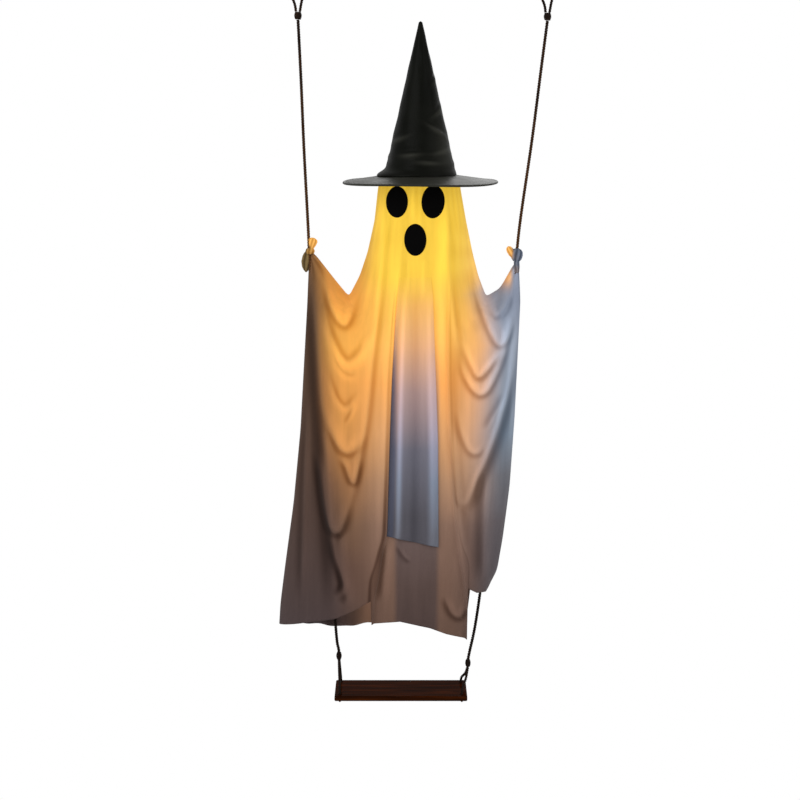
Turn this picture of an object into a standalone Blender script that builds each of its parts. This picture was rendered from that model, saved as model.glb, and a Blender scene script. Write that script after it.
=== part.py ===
"""Hanging ghost decoration: a draped cloth ghost in a tall pointed hat, tied by its
two hands to the ropes of a small wooden swing. Metres, +Z up, front towards -Y.
The origin is midway between the tops of the two rope eyes."""
import math

import bmesh
import bpy
import numpy as np
from mathutils import Vector
from mathutils.bvhtree import BVHTree

for item in list(bpy.data.objects):
    bpy.data.objects.remove(item, do_unlink=True)

# Driving dimensions
GAP = 0.0003
CLOTH = 0.0016
ROPE_R = 0.0034
SLING_R = 0.0030
ROPE_STEP = 0.0204

HAT_TIP_Z = -0.118
HAT_BASE_Z = -0.449
HAT_BASE_R = 0.0795
HAT_TIP_R = 0.0035
BRIM_R = 0.170
BRIM_DROP = 0.0145
BRIM_THICK = 0.0024
BRIM_HOLE_R = 0.072
BRIM_BEAD_R = 0.0022

HOOP_R = 0.0815
HOOP_WIRE_R = 0.0016
LAMP_R = 0.021
LAMP_H = 0.036
LAMP_EDGE = 0.002
LAMP_EYE_R = 0.006
LAMP_EYE_TOP = 0.005
LAMP_DROP = 0.006
BULB_R = 0.019
BULB_DROP = 0.022

SEAT_W = 0.302
SEAT_D = 0.130
SEAT_T = 0.012
SEAT_X = -0.043
SEAT_TOP = -1.625
SEAT_EDGE = 0.003
HOLE_Y = 0.048
HOLE_IN = 0.012
HOLE_R = 0.0048

# Rope routes, x and z in the plane of the swing
LEFT_ROPE = ((-0.268, -0.112), (-0.2624, -0.242), (-0.2569, -0.395), (-0.2493, -0.560),
             (-0.2460, -0.640), (-0.2370, -0.760), (-0.2200, -1.020), (-0.1938, -1.459),
             (-0.1850, -1.540))
RIGHT_ROPE = ((0.2774, -0.114), (0.2644, -0.221), (0.2462, -0.373), (0.2235, -0.538),
              (0.2145, -0.625), (0.2075, -0.720), (0.1860, -0.980), (0.1356, -1.417),
              (0.1110, -1.557))
LEFT_EYE_TOP = (-0.272, 0.0)
RIGHT_EYE_TOP = (0.272, 0.0)
EYE_REACH = 0.0155
EYE_STEP = 0.011
SLING_STEP = 0.009
EYE_KNOT = (0.0085, 0.0060, 0.0085)
SLING_KNOT = (0.0065, 0.0085, 0.0080)

ghost = bpy.data.collections.new("hanging_ghost_decoration")
cutters = bpy.data.collections.new("cutters")
for group in (ghost, cutters):
    bpy.context.scene.collection.children.link(group)


def material(name, colour, roughness, metallic=0.0):
    surface = bpy.data.materials.new(name)
    surface.use_nodes = True
    shader = surface.node_tree.nodes["Principled BSDF"]
    shader.inputs["Base Color"].default_value = (*colour, 1.0)
    shader.inputs["Roughness"].default_value = roughness
    shader.inputs["Metallic"].default_value = metallic
    surface.diffuse_color = (*colour, 1.0)
    return surface


def add_object(name, data, surface=None, group=ghost):
    item = bpy.data.objects.new(name, data)
    group.objects.link(item)
    if surface:
        data.materials.append(surface)
    if group is cutters:
        item.hide_render = True
        item.display_type = "WIRE"
    return item


def activate(item):
    bpy.context.view_layer.objects.active = item
    for other in bpy.context.selected_objects:
        other.select_set(False)
    item.select_set(True)


def smooth_route(points, step):
    """Points read at an even step from a smooth curve through the route's points."""
    route = [Vector(point) for point in points]
    route = [2 * route[0] - route[1]] + route + [2 * route[-1] - route[-2]]
    dense = []
    for a, b, c, d in zip(route, route[1:], route[2:], route[3:]):
        for k in range(24):
            t = k / 24
            dense.append(0.5 * (2 * b + (c - a) * t + (2 * a - 5 * b + 4 * c - d) * t ** 2
                                + (3 * b - a - 3 * c + d) * t ** 3))
    dense.append(route[-2])
    lengths = np.cumsum([0.0] + [(q - p).length for p, q in zip(dense, dense[1:])])
    count = max(3, round(lengths[-1] / step) + 1)
    wanted = np.linspace(0.0, lengths[-1], count)
    axes = [np.interp(wanted, lengths, [p[axis] for p in dense]) for axis in range(3)]
    return list(zip(*axes))


def tube(name, points, radius, surface=None, step=ROPE_STEP, group=ghost):
    data = bpy.data.curves.new(name, "CURVE")
    data.dimensions = "3D"
    data.bevel_depth = radius
    data.bevel_resolution = 2
    data.use_fill_caps = True
    spline = data.splines.new("POLY")
    track = smooth_route(points, step)
    spline.points.add(len(track) - 1)
    for point, place in zip(spline.points, track):
        point.co = (*place, 1.0)
    return add_object(name, data, surface, group)


def as_mesh(item):
    """The same object with its curve or modifiers made into a plain mesh."""
    depsgraph = bpy.context.evaluated_depsgraph_get()
    bpy.context.view_layer.update()
    data = bpy.data.meshes.new_from_object(item.evaluated_get(depsgraph))
    name = item.name
    group = item.users_collection[0]
    place = item.matrix_world.copy()
    bpy.data.objects.remove(item, do_unlink=True)
    shape = bmesh.new()
    shape.from_mesh(data)
    bmesh.ops.remove_doubles(shape, verts=shape.verts, dist=1e-6)
    shape.to_mesh(data)
    shape.free()
    made = bpy.data.objects.new(name, data)
    group.objects.link(made)
    made.matrix_world = place
    made.name = name
    if group is cutters:
        made.hide_render = True
        made.display_type = "WIRE"
    return made


def combine(target, tool, operation="DIFFERENCE"):
    step = target.modifiers.new(operation.lower(), "BOOLEAN")
    step.operation = operation
    step.solver = "EXACT"
    step.object = tool
    activate(target)
    bpy.ops.object.modifier_apply(modifier=step.name)


def turned(name, profile, surface, steps=28):
    """A profile of radius and height, top to bottom, turned about its own axis."""
    data = bpy.data.meshes.new(name)
    data.from_pydata([(r, 0.0, z) for r, z in profile],
                     [(k, k + 1) for k in range(len(profile) - 1)], [])
    item = add_object(name, data, surface)
    screw = item.modifiers.new("turn", "SCREW")
    screw.steps = steps
    screw.render_steps = steps
    screw.use_merge_vertices = True
    screw.merge_threshold = 0.00005
    screw.use_normal_calculate = True
    return item


def ball(name, centre, radii, tilt=0.0, surface=None, segments=10):
    """A round form of cloth or cord, with its three half-sizes and its lean."""
    data = bpy.data.meshes.new(name)
    shape = bmesh.new()
    bmesh.ops.create_uvsphere(shape, u_segments=segments, v_segments=segments * 3 // 5, radius=1.0)
    shape.to_mesh(data)
    shape.free()
    item = add_object(name, data, surface)
    item.location = centre
    item.scale = radii
    item.rotation_euler = (0.0, tilt, 0.0)
    activate(item)
    bpy.ops.object.transform_apply(location=False, rotation=False, scale=True)
    return item


# Materials
BLACK_SATIN = material("black_satin", (0.010, 0.010, 0.010), 0.38)
BLACK_FELT = material("black_felt", (0.012, 0.011, 0.011), 0.95)
PALE_CLOTH = material("pale_polyester_cloth", (0.62, 0.56, 0.52), 0.85)
GREY_CLOTH = material("grey_polyester_cloth", (0.22, 0.25, 0.36), 0.85)
JUTE = material("twisted_jute", (0.16, 0.085, 0.035), 0.95)
VARNISHED_WOOD = material("varnished_wood", (0.10, 0.028, 0.007), 0.25)
STEEL_WIRE = material("steel_wire", (0.55, 0.55, 0.56), 0.35, 1.0)
WHITE_PLASTIC = material("white_plastic", (0.75, 0.74, 0.70), 0.4)
FROSTED_BULB = material("frosted_bulb", (1.0, 0.74, 0.30), 0.5)


# Hat: a sewn cone on a wide brim with a wired edge
def brim_top(radius):
    return HAT_BASE_Z - CLOTH / 2 - BRIM_DROP * max(0.0, radius - HAT_BASE_R) / (BRIM_R - HAT_BASE_R)


cone_drop = HAT_TIP_Z - HAT_BASE_Z
cone_profile = []
for share, bulge in ((1.0, 0.0), (0.985, 0.0), (0.8, 0.0), (0.6, 0.0008), (0.4, -0.0006),
                     (0.24, 0.0008), (0.17, -0.0008), (0.12, 0.0012), (0.08, -0.0006),
                     (0.045, 0.0010), (0.0, 0.0)):
    reach = HAT_TIP_R + (HAT_BASE_R - HAT_TIP_R) * (1.0 - share)
    cone_profile.append((reach + bulge, HAT_BASE_Z + cone_drop * share))
crown = turned("hat_crown", [(0.0, HAT_TIP_Z + 0.003)] + cone_profile, BLACK_SATIN)
shell = crown.modifiers.new("cloth", "SOLIDIFY")
shell.thickness = CLOTH
shell.offset = -1.0
crown = as_mesh(crown)

bead_z = brim_top(BRIM_R) - BRIM_THICK / 2
brim_profile = [(BRIM_HOLE_R, brim_top(BRIM_HOLE_R)), (HAT_BASE_R, brim_top(HAT_BASE_R)),
                (BRIM_R - BRIM_BEAD_R, brim_top(BRIM_R - BRIM_BEAD_R) + 0.0002)]
for turn in (60, 0, -60):
    angle = math.radians(turn)
    brim_profile.append((BRIM_R + BRIM_BEAD_R * math.cos(angle),
                         bead_z + BRIM_BEAD_R * math.sin(angle)))
brim_profile += [(BRIM_R - BRIM_BEAD_R, brim_top(BRIM_R - BRIM_BEAD_R) - BRIM_THICK),
                 (HAT_BASE_R, brim_top(HAT_BASE_R) - BRIM_THICK),
                 (BRIM_HOLE_R, brim_top(BRIM_HOLE_R) - BRIM_THICK),
                 (BRIM_HOLE_R, brim_top(BRIM_HOLE_R))]
brim = as_mesh(turned("hat_brim", brim_profile, BLACK_SATIN, steps=34))

# Wire hoop that the hat and the cloth are sewn to, with a bar for the lamp
brim_under = brim_top(HOOP_R) - BRIM_THICK
hoop_z = brim_under - HOOP_WIRE_R - 2 * GAP
bpy.ops.mesh.primitive_torus_add(major_radius=HOOP_R, minor_radius=HOOP_WIRE_R,
                                 major_segments=28, minor_segments=6, location=(0.0, 0.0, hoop_z))
hoop = bpy.context.object
for group in list(hoop.users_collection):
    group.objects.unlink(hoop)
ghost.objects.link(hoop)
hoop.name = "head_hoop"
hoop.data.materials.append(STEEL_WIRE)
bpy.ops.mesh.primitive_cylinder_add(radius=HOOP_WIRE_R * 0.9, depth=2 * HOOP_R, vertices=10,
                                    location=(0.0, 0.0, hoop_z), rotation=(0.0, math.pi / 2, 0.0))
bar = bpy.context.object
combine(hoop, bar, "UNION")
bpy.data.objects.remove(bar, do_unlink=True)

# Battery lamp that hangs on the bar by its eye
eye_top = hoop_z + LAMP_EYE_TOP
lamp_top = hoop_z - LAMP_DROP
lamp_foot = lamp_top - LAMP_H
lamp = turned("lamp_body", [(0.0, eye_top), (LAMP_EYE_R - LAMP_EDGE / 2, eye_top),
                            (LAMP_EYE_R, eye_top - LAMP_EDGE), (LAMP_EYE_R, lamp_top),
                            (LAMP_R - LAMP_EDGE, lamp_top), (LAMP_R, lamp_top - LAMP_EDGE),
                            (LAMP_R, lamp_foot + LAMP_EDGE / 2), (LAMP_R - LAMP_EDGE / 2, lamp_foot),
                            (0.0, lamp_foot)], WHITE_PLASTIC, steps=18)
lamp = as_mesh(lamp)
bpy.ops.mesh.primitive_cylinder_add(radius=HOOP_WIRE_R * 0.9 + 2 * GAP, depth=0.05, vertices=10,
                                    location=(0.0, 0.0, hoop_z), rotation=(0.0, math.pi / 2, 0.0))
bore = bpy.context.object
combine(lamp, bore)
bpy.data.objects.remove(bore, do_unlink=True)
bulb_top = lamp_foot - GAP
bulb_profile = [(0.0, bulb_top), (BULB_R * 0.8, bulb_top)]
for turn in range(60, -91, -30):
    angle = math.radians(turn)
    bulb_profile.append((BULB_R * math.cos(angle), bulb_top - BULB_DROP + BULB_R * math.sin(angle)))
bulb = as_mesh(turned("lamp_bulb", bulb_profile, FROSTED_BULB, steps=18))


# Cloth: edges of the sheet row by row, from the hoop to the hem
# share of the drop, left edge x z, right edge x z, middle z, front depth, back depth
CLOTH_ROWS = np.array((
    (0.00, -0.0885, -0.4545, 0.0865, -0.4545, -0.4545, 0.0870, 0.0870),
    (0.04, -0.0935, -0.4800, 0.0885, -0.4800, -0.4810, 0.0890, 0.0880),
    (0.12, -0.1010, -0.5500, 0.1010, -0.5500, -0.5560, 0.0950, 0.0920),
    (0.20, -0.1165, -0.6200, 0.1160, -0.6220, -0.6340, 0.1020, 0.0960),
    (0.26, -0.1342, -0.6730, 0.1290, -0.6730, -0.7000, 0.1060, 0.0980),
    (0.32, -0.1590, -0.7205, 0.1470, -0.7205, -0.7680, 0.1080, 0.0980),
    (0.37, -0.1880, -0.6850, 0.1790, -0.7010, -0.8120, 0.1100, 0.0960),
    (0.42, -0.2345, -0.6265, 0.2060, -0.6510, -0.8600, 0.1110, 0.0950),
    (0.45, -0.2440, -0.6360, 0.2200, -0.6540, -0.8950, 0.1120, 0.0940),
    (0.53, -0.2520, -0.7400, 0.2235, -0.7300, -0.9650, 0.1120, 0.0930),
    (0.62, -0.2600, -0.8700, 0.2190, -0.8400, -1.0450, 0.1120, 0.0920),
    (0.72, -0.2690, -1.0200, 0.2130, -0.9900, -1.1450, 0.1110, 0.0900),
    (0.82, -0.2860, -1.1900, 0.2030, -1.1500, -1.2500, 0.1080, 0.0880),
    (0.91, -0.3060, -1.3350, 0.1880, -1.2900, -1.3480, 0.1040, 0.0860),
    (0.97, -0.3180, -1.4250, 0.1760, -1.3750, -1.4140, 0.1010, 0.0840),
    (1.00, -0.3210, -1.4720, 0.1600, -1.4080, -1.4480, 0.1000, 0.0830)))
ROW_BEND = 2.6
# Front edges of the two outer folds, x against z, and how far they stand forward
LEFT_FOLD = ((-0.030, -0.455), (-0.041, -0.553), (-0.045, -0.618), (-0.054, -0.695), (-0.060, -0.761),
             (-0.067, -0.894), (-0.072, -1.028), (-0.078, -1.247), (-0.087, -1.281), (-0.097, -1.345),
             (-0.108, -1.393), (-0.112, -1.480))
RIGHT_FOLD = ((0.055, -0.455), (0.057, -0.586), (0.064, -0.673), (0.063, -0.894), (0.067, -1.003),
              (0.075, -1.115), (0.083, -1.229), (0.095, -1.299), (0.104, -1.334), (0.109, -1.377),
              (0.108, -1.500))
FOLD_STEP = 0.014
FOLD_STARTS = -0.66
FOLD_FULL = -0.78
LEFT_SHARE = -0.30
RIGHT_SHARE = 0.32
FOLD_RUN = 0.022
# Hem below the folds, x against z: front left, front middle, front right and back
HEM_LEFT = ((-0.321, -1.472), (-0.250, -1.452), (-0.190, -1.438), (-0.150, -1.418), (-0.108, -1.393))
HEM_MIDDLE = ((-0.112, -1.450), (-0.079, -1.447), (-0.045, -1.445), (0.023, -1.463), (0.060, -1.480),
              (0.108, -1.496))
HEM_RIGHT = ((0.109, -1.377), (0.129, -1.390), (0.150, -1.392), (0.160, -1.378))
HEM_BACK = ((-0.321, -1.472), (-0.250, -1.486), (-0.180, -1.500), (-0.110, -1.492), (-0.045, -1.476),
            (0.024, -1.492), (0.095, -1.490), (0.108, -1.470), (0.120, -1.372), (0.160, -1.378))
# Folds of the front in mm: height, width left of its run, width right of it, run of x and z
FOLDS = (
    (5, 12, 9, ((-176, -1227), (-139, -1086), (-107, -844), (-85, -661), (-79, -575))),
    (5, 14, 9, ((-101, -1379), (-82, -1158), (-65, -885), (-50, -730), (-46, -651))),
    (6, 17, 11, ((107, -1374), (84, -1197), (64, -1027), (56, -827), (53, -640))),
    (5, 12, 9, ((103, -911), (79, -809), (61, -652), (60, -564))),
    (8, 11, 13, ((-239, -623), (-227, -790), (-211, -1009), (-195, -1236), (-187, -1425))),
    (8, 13, 9, ((-222, -629), (-212, -680), (-197, -734), (-181, -764), (-166, -776), (-146, -723))),
    (8, 15, 9, ((-113, -797), (-127, -830), (-161, -860), (-195, -810), (-221, -709))),
    (6, 12, 9, ((-133, -924), (-154, -953), (-170, -961), (-190, -938), (-208, -879))),
    (9, 16, 10, ((-213, -942), (-202, -996), (-176, -1048), (-163, -1056), (-138, -1034), (-129, -1009))),
    (6, 11, 9, ((-178, -1066), (-156, -1109), (-148, -1125), (-136, -1066))),
    (8, 14, 10, ((-229, -1055), (-212, -1179), (-201, -1227), (-182, -1240), (-159, -1168))),
    (6, 12, 10, ((-170, -1225), (-177, -1271), (-166, -1340), (-157, -1386), (-166, -1409))),
    (5, 12, 11, ((-246, -897), (-256, -1100), (-262, -1305), (-265, -1409))),
    (9, 14, 9, ((113, -621), (129, -713), (147, -770), (178, -823), (202, -775), (210, -731))),
    (8, 11, 9, ((96, -809), (109, -848), (127, -890), (145, -873), (180, -833))),
    (9, 13, 9, ((82, -783), (96, -876), (112, -908), (131, -928), (173, -872), (204, -753))),
    (8, 10, 12, ((93, -1182), (124, -1115), (164, -1027), (191, -942), (204, -879), (214, -687))),
    (6, 11, 9, ((83, -956), (92, -1010), (113, -1055), (126, -1060), (142, -1043))),
    (6, 13, 9, ((67, -983), (72, -1050), (84, -1163), (93, -1182))),
    (7, 12, 12, ((151, -1100), (147, -1179), (147, -1271), (148, -1374))))
# Centre panel in front of the middle: top, right edge, hem against its own width
PANEL_TOP = -0.655
PANEL_RIGHT = ((0.022, -0.655), (0.027, -0.710), (0.039, -1.028), (0.041, -1.280))
PANEL_HEM = ((0.0, -1.246), (0.15, -1.249), (1.0, -1.272))
PANEL_CLEAR = 0.0065
PANEL_STAND = 0.0020
PANEL_FOLD = 0.0045
SEWN = 0.0004
LAY_SPAN = 0.004
PATCH_SPAN = 0.002
FELT = 0.0012
# Felt patches: centre x z, half width and height, lean in degrees
PATCHES = (("left_eye", (-0.0515, -0.5045), (0.0237, 0.0340), 3.0),
           ("right_eye", (0.0270, -0.5035), (0.0252, 0.0360), 3.0),
           ("mouth", (-0.0117, -0.5855), (0.0241, 0.0346), 0.0))
# Hands: round forms of the knotted corners, centre, half-sizes and lean in degrees
LEFT_HAND = (((-0.2430, 0.0, -0.6185), (0.0115, 0.0105, 0.0085), 0.0),
             ((-0.2365, -0.001, -0.6020), (0.0095, 0.0110, 0.0165), 12.0),
             ((-0.2560, -0.006, -0.6420), (0.0090, 0.0090, 0.0230), 3.0))
RIGHT_HAND = (((0.2138, 0.0, -0.6305), (0.0108, 0.0108, 0.0192), 0.0),
              ((0.1995, -0.002, -0.6210), (0.0078, 0.0085, 0.0120), -14.0),
              ((0.2125, 0.0, -0.6150), (0.0100, 0.0095, 0.0070), 20.0))
# Room that is cut away on the far side of each length's seams
SIDE_ROOM = 0.8
SIDE_MIDDLE = -1.0
BACK_PLEATS = 9
BACK_PLEAT_HEIGHT = 0.006
HANDS = ((-0.240, -0.632), (0.214, -0.653))
HAND_REACH = 0.17
HAND_FLATNESS = 0.12


def ease(value):
    value = np.clip(value, 0.0, 1.0)
    return value * value * (3.0 - 2.0 * value)


def fold_height(x, z, height, left_width, right_width, run):
    """Height that one fold adds at each x and z, fading out at both of its ends."""
    nearest = np.full(x.shape, 9000.0)
    along = np.zeros(x.shape)
    width = np.full(x.shape, float(left_width))
    for k, ((ax, az), (bx, bz)) in enumerate(zip(run, run[1:])):
        share = ((x - ax) * (bx - ax) + (z - az) * (bz - az)) / ((bx - ax) ** 2 + (bz - az) ** 2)
        share = np.clip(share, 0.0, 1.0)
        away = np.hypot(x - ax - share * (bx - ax), z - az - share * (bz - az))
        is_left = (z - az) * (bx - ax) > (x - ax) * (bz - az)
        closer = away < nearest
        along = np.where(closer, (k + share) / (len(run) - 1), along)
        width = np.where(closer, np.where(is_left, left_width, right_width), width)
        nearest = np.minimum(away, nearest)
    fade = np.minimum(1.0, 0.25 + 3.0 * np.minimum(along, 1.0 - along))
    return height * fade * np.exp(-(nearest / width) ** 2)


def line_x(line, z):
    """Position across of a line that runs down the cloth, at each height."""
    xs, zs = zip(*line)
    return np.interp(-z, [-value for value in zs], xs)


def hem_z(line, x):
    xs, zs = zip(*line)
    return np.interp(x, xs, zs)


def cloth_row(share):
    """The edges, middle height and depths of the cloth at one share of its drop."""
    rows = CLOTH_ROWS
    k = int(np.clip(np.searchsorted(rows[:, 0], share) - 1, 0, len(rows) - 2))
    t = (share - rows[k, 0]) / (rows[k + 1, 0] - rows[k, 0])
    return rows[k, 1:] * (1.0 - t) + rows[k + 1, 1:] * t


def cloth_point(across, share, front):
    """A place on the cloth: across runs -1 left to 1 right, share runs hoop to hem."""
    left_x, left_z, right_x, right_z, middle_z, front_depth, back_depth = cloth_row(share)
    bend = np.abs(across) ** ROW_BEND
    z = middle_z + np.where(across < 0, left_z - middle_z, right_z - middle_z) * bend
    left_fold = line_x(LEFT_FOLD, z)
    right_fold = line_x(RIGHT_FOLD, z)
    head = 1.0 - ease((share - 0.2) / 0.25)
    left_part = np.clip((across + 1.0) / (1.0 + LEFT_SHARE), 0.0, 1.0)
    right_part = np.clip((1.0 - across) / (1.0 - RIGHT_SHARE), 0.0, 1.0)
    bunch = 0.35 + 0.65 * head
    left_part = (1.0 - bunch) * left_part + bunch * (1.0 - np.cos(left_part * math.pi / 2))
    right_part = (1.0 - bunch) * right_part + bunch * (1.0 - np.cos(right_part * math.pi / 2))
    between = np.clip((across - LEFT_SHARE) / (RIGHT_SHARE - LEFT_SHARE), 0.0, 1.0)
    x = left_fold + (right_fold - left_fold) * between
    x = np.where(across < LEFT_SHARE, left_x + (left_fold - left_x) * left_part, x)
    x = np.where(across > RIGHT_SHARE, right_x + (right_fold - right_x) * right_part, x)
    drop = ease((share - 0.80) / 0.20)
    if front:
        target = np.where(across < LEFT_SHARE + 0.001, hem_z(HEM_LEFT, x), hem_z(HEM_MIDDLE, x))
        target = np.where(across > RIGHT_SHARE - 0.001, hem_z(HEM_RIGHT, x), target)
    else:
        target = hem_z(HEM_BACK, x)
    base = CLOTH_ROWS[-1]
    flat = base[5] + np.where(across < 0, base[2] - base[5], base[4] - base[5]) * bend
    z = z + (target - flat) * drop
    return x, z


def cloth_depth(x, z, across, share, front):
    """How far the cloth stands out from the plane of the swing."""
    left_x, left_z, right_x, right_z, middle_z, front_depth, back_depth = cloth_row(share)
    half = (right_x - left_x) / 2
    side = np.clip(np.abs(x - (left_x + right_x) / 2) / half, 0.0, 1.0)
    head = 1.0 - ease((share - 0.14) / 0.25)
    power = 0.5 * head + 0.68 * (1.0 - head)
    depth = (front_depth if front else back_depth) * (1.0 - side ** 2.1) ** power
    for hand_x, hand_z in HANDS:
        near = ease(np.hypot(x - hand_x, z - hand_z) / HAND_REACH)
        depth = depth * (HAND_FLATNESS + (1.0 - HAND_FLATNESS) * near)
    edge = ease((1.0 - side) / 0.12)
    if front:
        stand = FOLD_STEP * ease((FOLD_STARTS - z) / (FOLD_STARTS - FOLD_FULL))
        outside = (across < LEFT_SHARE + 0.001) | (across > RIGHT_SHARE - 0.001)
        depth = depth - np.where(outside, 0.0, stand)
        for height, left_width, right_width, run in FOLDS:
            fold = fold_height(1000 * x, 1000 * z, height, left_width, right_width, run)
            depth = depth + edge * 0.001 * fold
    else:
        fan = side * np.sign(x - (left_x + right_x) / 2)
        wave = np.cos(math.pi * BACK_PLEATS * fan + 1.3 * np.sin(9.0 * z))
        depth = depth + edge * BACK_PLEAT_HEIGHT * (0.4 + 0.6 * ease(share * 2.0)) * wave
    return depth


FRONT_ACROSS = np.concatenate((np.linspace(-1.0, LEFT_SHARE, 15),
                               np.linspace(LEFT_SHARE + FOLD_RUN, RIGHT_SHARE - FOLD_RUN, 7),
                               np.linspace(RIGHT_SHARE, 1.0, 13)))
BACK_ACROSS = np.linspace(1.0, -1.0, 22)[1:-1]
ROW_SHARES = (0.0, 0.04, 0.08, 0.12, 0.16, 0.20, 0.26, 0.32, 0.37, 0.42, 0.45, 0.49, 0.53, 0.575,
              0.62, 0.67, 0.72, 0.77, 0.82, 0.87, 0.91, 0.955, 1.0)


def cloth_positions(share):
    """One closed row of places round the cloth."""
    places = []
    for across, front in ((FRONT_ACROSS, True), (BACK_ACROSS, False)):
        x, z = cloth_point(across, share, front)
        depth = cloth_depth(x, z, across, share, front)
        y = -depth if front else depth
        places += list(zip(x, y, z))
    return places


columns = len(FRONT_ACROSS) + len(BACK_ACROSS)
spans = len(ROW_SHARES) - 1
data = bpy.data.meshes.new("shroud")
shape = bmesh.new()
bmesh.ops.create_grid(shape, x_segments=columns, y_segments=spans, size=0.5)
rows = [cloth_positions(share) for share in ROW_SHARES]
for vert in shape.verts:
    column = round((vert.co.x + 0.5) * columns) % columns
    row = round((0.5 - vert.co.y) * spans)
    vert.co = rows[row][column]
bmesh.ops.remove_doubles(shape, verts=shape.verts, dist=1e-6)
bmesh.ops.recalc_face_normals(shape, faces=shape.faces)
shape.to_mesh(data)
shape.free()
shroud = add_object("shroud", data, PALE_CLOTH)
sheet = shroud.modifiers.new("cloth", "SOLIDIFY")
sheet.thickness = CLOTH
sheet.offset = 0.0
shroud = as_mesh(shroud)


# Pieces of cloth sewn on the front of the sheet, laid against it from the front
front_of_cloth = BVHTree.FromPolygons([vert.co for vert in shroud.data.vertices],
                                      [face.vertices for face in shroud.data.polygons])


def laid_on(name, places, columns, lines, surface, thickness, span):
    """A grid of x, z and stand-off, laid on the cloth and given a thickness outwards."""
    data = bpy.data.meshes.new(name)
    shape = bmesh.new()
    bmesh.ops.create_grid(shape, x_segments=columns, y_segments=lines, size=0.5)
    for vert in shape.verts:
        x, z, stand = places(vert.co.x + 0.5, 0.5 - vert.co.y)
        near = []
        for aside, above in ((0, 0), (-span, 0), (span, 0), (0, 2 * span), (0, -2 * span)):
            start = Vector((x + aside, -1.0, z + above))
            near.append(front_of_cloth.ray_cast(start, Vector((0.0, 1.0, 0.0)))[0].y)
        vert.co = (x, min(near) - stand, z)
    shape.to_mesh(data)
    shape.free()
    item = add_object(name, data, surface)
    sheet = item.modifiers.new("cloth", "SOLIDIFY")
    sheet.thickness = thickness
    sheet.offset = 1.0 if data.polygons[0].normal.y < 0 else -1.0
    return as_mesh(item)


def panel_place(across, down):
    z = PANEL_TOP + (hem_z(PANEL_HEM, across) - PANEL_TOP) * down
    left = line_x(LEFT_FOLD, z) + PANEL_CLEAR
    x = left + (line_x(PANEL_RIGHT, z) - left) * across
    free = ease((PANEL_TOP - z) / 0.12)
    fold = PANEL_FOLD * (0.5 - 0.5 * math.cos(2 * math.pi * (1.5 * across + 0.15)))
    return x, z, SEWN + free * (PANEL_STAND + fold)


laid_on("front_panel", panel_place, 8, 20, GREY_CLOTH, CLOTH, LAY_SPAN)


def patch_place(centre, half, lean):
    def place(across, down):
        u = 2 * across - 1
        v = 2 * down - 1
        disc_u = u * math.sqrt(1 - v * v / 2) * half[0]
        disc_v = v * math.sqrt(1 - u * u / 2) * half[1]
        x = centre[0] + disc_u * math.cos(lean) - disc_v * math.sin(lean)
        return x, centre[1] - disc_v * math.cos(lean) - disc_u * math.sin(lean), SEWN
    return place


for name, centre, half, lean in PATCHES:
    laid_on(name, patch_place(centre, half, math.radians(lean)), 6, 8, BLACK_FELT, FELT, PATCH_SPAN)

# Ropes, each with a bound eye at its top and a sling at its foot
sides = (("left", LEFT_ROPE, LEFT_EYE_TOP, SEAT_X - SEAT_W / 2 + HOLE_IN),
         ("right", RIGHT_ROPE, RIGHT_EYE_TOP, SEAT_X + SEAT_W / 2 - HOLE_IN))
for side, route, eye_top, hole_x in sides:
    points = [(x, 0.0, z) for x, z in route]
    tube("rope_" + side, points, ROPE_R, JUTE)
    clearance = as_mesh(tube("rope_room_" + side, points, ROPE_R + 2 * GAP, group=cutters))
    combine(shroud, clearance)
    top_x, top_z = route[0]
    hand = None
    for centre, radii, lean in LEFT_HAND if side == "left" else RIGHT_HAND:
        form = ball("hand_" + side, centre, radii, math.radians(lean), PALE_CLOTH)
        if hand is None:
            hand = form
        else:
            combine(hand, form, "UNION")
            bpy.data.objects.remove(form, do_unlink=True)
    combine(hand, clearance)
    ball("eye_knot_" + side, (top_x, 0.0, top_z + EYE_KNOT[2] + GAP), EYE_KNOT, surface=JUTE)
    eye_base = top_z + 2 * EYE_KNOT[2] + 2 * GAP
    eye_x, eye_z = eye_top
    middle = (top_x + eye_x) / 2
    crest = eye_z - ROPE_R
    tube("eye_" + side,
         [(top_x - 0.0042, 0.0, eye_base - GAP), (top_x - 0.007, 0.0, eye_base + 0.016),
          (middle - EYE_REACH + 0.001, 0.0, eye_base + 0.045), (eye_x - 0.012, 0.0, crest - 0.010),
          (eye_x, 0.0, crest), (eye_x + 0.012, 0.0, crest - 0.010),
          (middle + EYE_REACH - 0.001, 0.0, eye_base + 0.045), (top_x + 0.007, 0.0, eye_base + 0.016),
          (top_x + 0.0042, 0.0, eye_base - GAP)], SLING_R, JUTE, step=EYE_STEP)
    foot_x, foot_z = route[-1]
    ball("sling_knot_" + side, (foot_x, 0.0, foot_z - SLING_KNOT[2] - GAP), SLING_KNOT, surface=JUTE)
    leg_top = foot_z - 2 * SLING_KNOT[2] - 2 * GAP
    under = SEAT_TOP - SEAT_T - SLING_R - 4 * GAP
    half = []
    for y, z, lean in ((0.0045, leg_top + 2 * GAP, 0.0), (0.022, leg_top - 0.022, 0.35),
                       (HOLE_Y - 0.004, SEAT_TOP + 0.012, 0.9), (HOLE_Y, SEAT_TOP - 0.002, 1.0),
                       (HOLE_Y + 0.0006, SEAT_TOP - SEAT_T - 0.0005, 1.0), (HOLE_Y - 0.0045, under, 1.0)):
        half.append((foot_x + (hole_x - foot_x) * lean, y, z))
    track = [(x, -y, z) for x, y, z in half] + [(hole_x, 0.0, under)] + half[::-1]
    tube("sling_" + side, track, SLING_R, JUTE, step=SLING_STEP)

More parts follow.
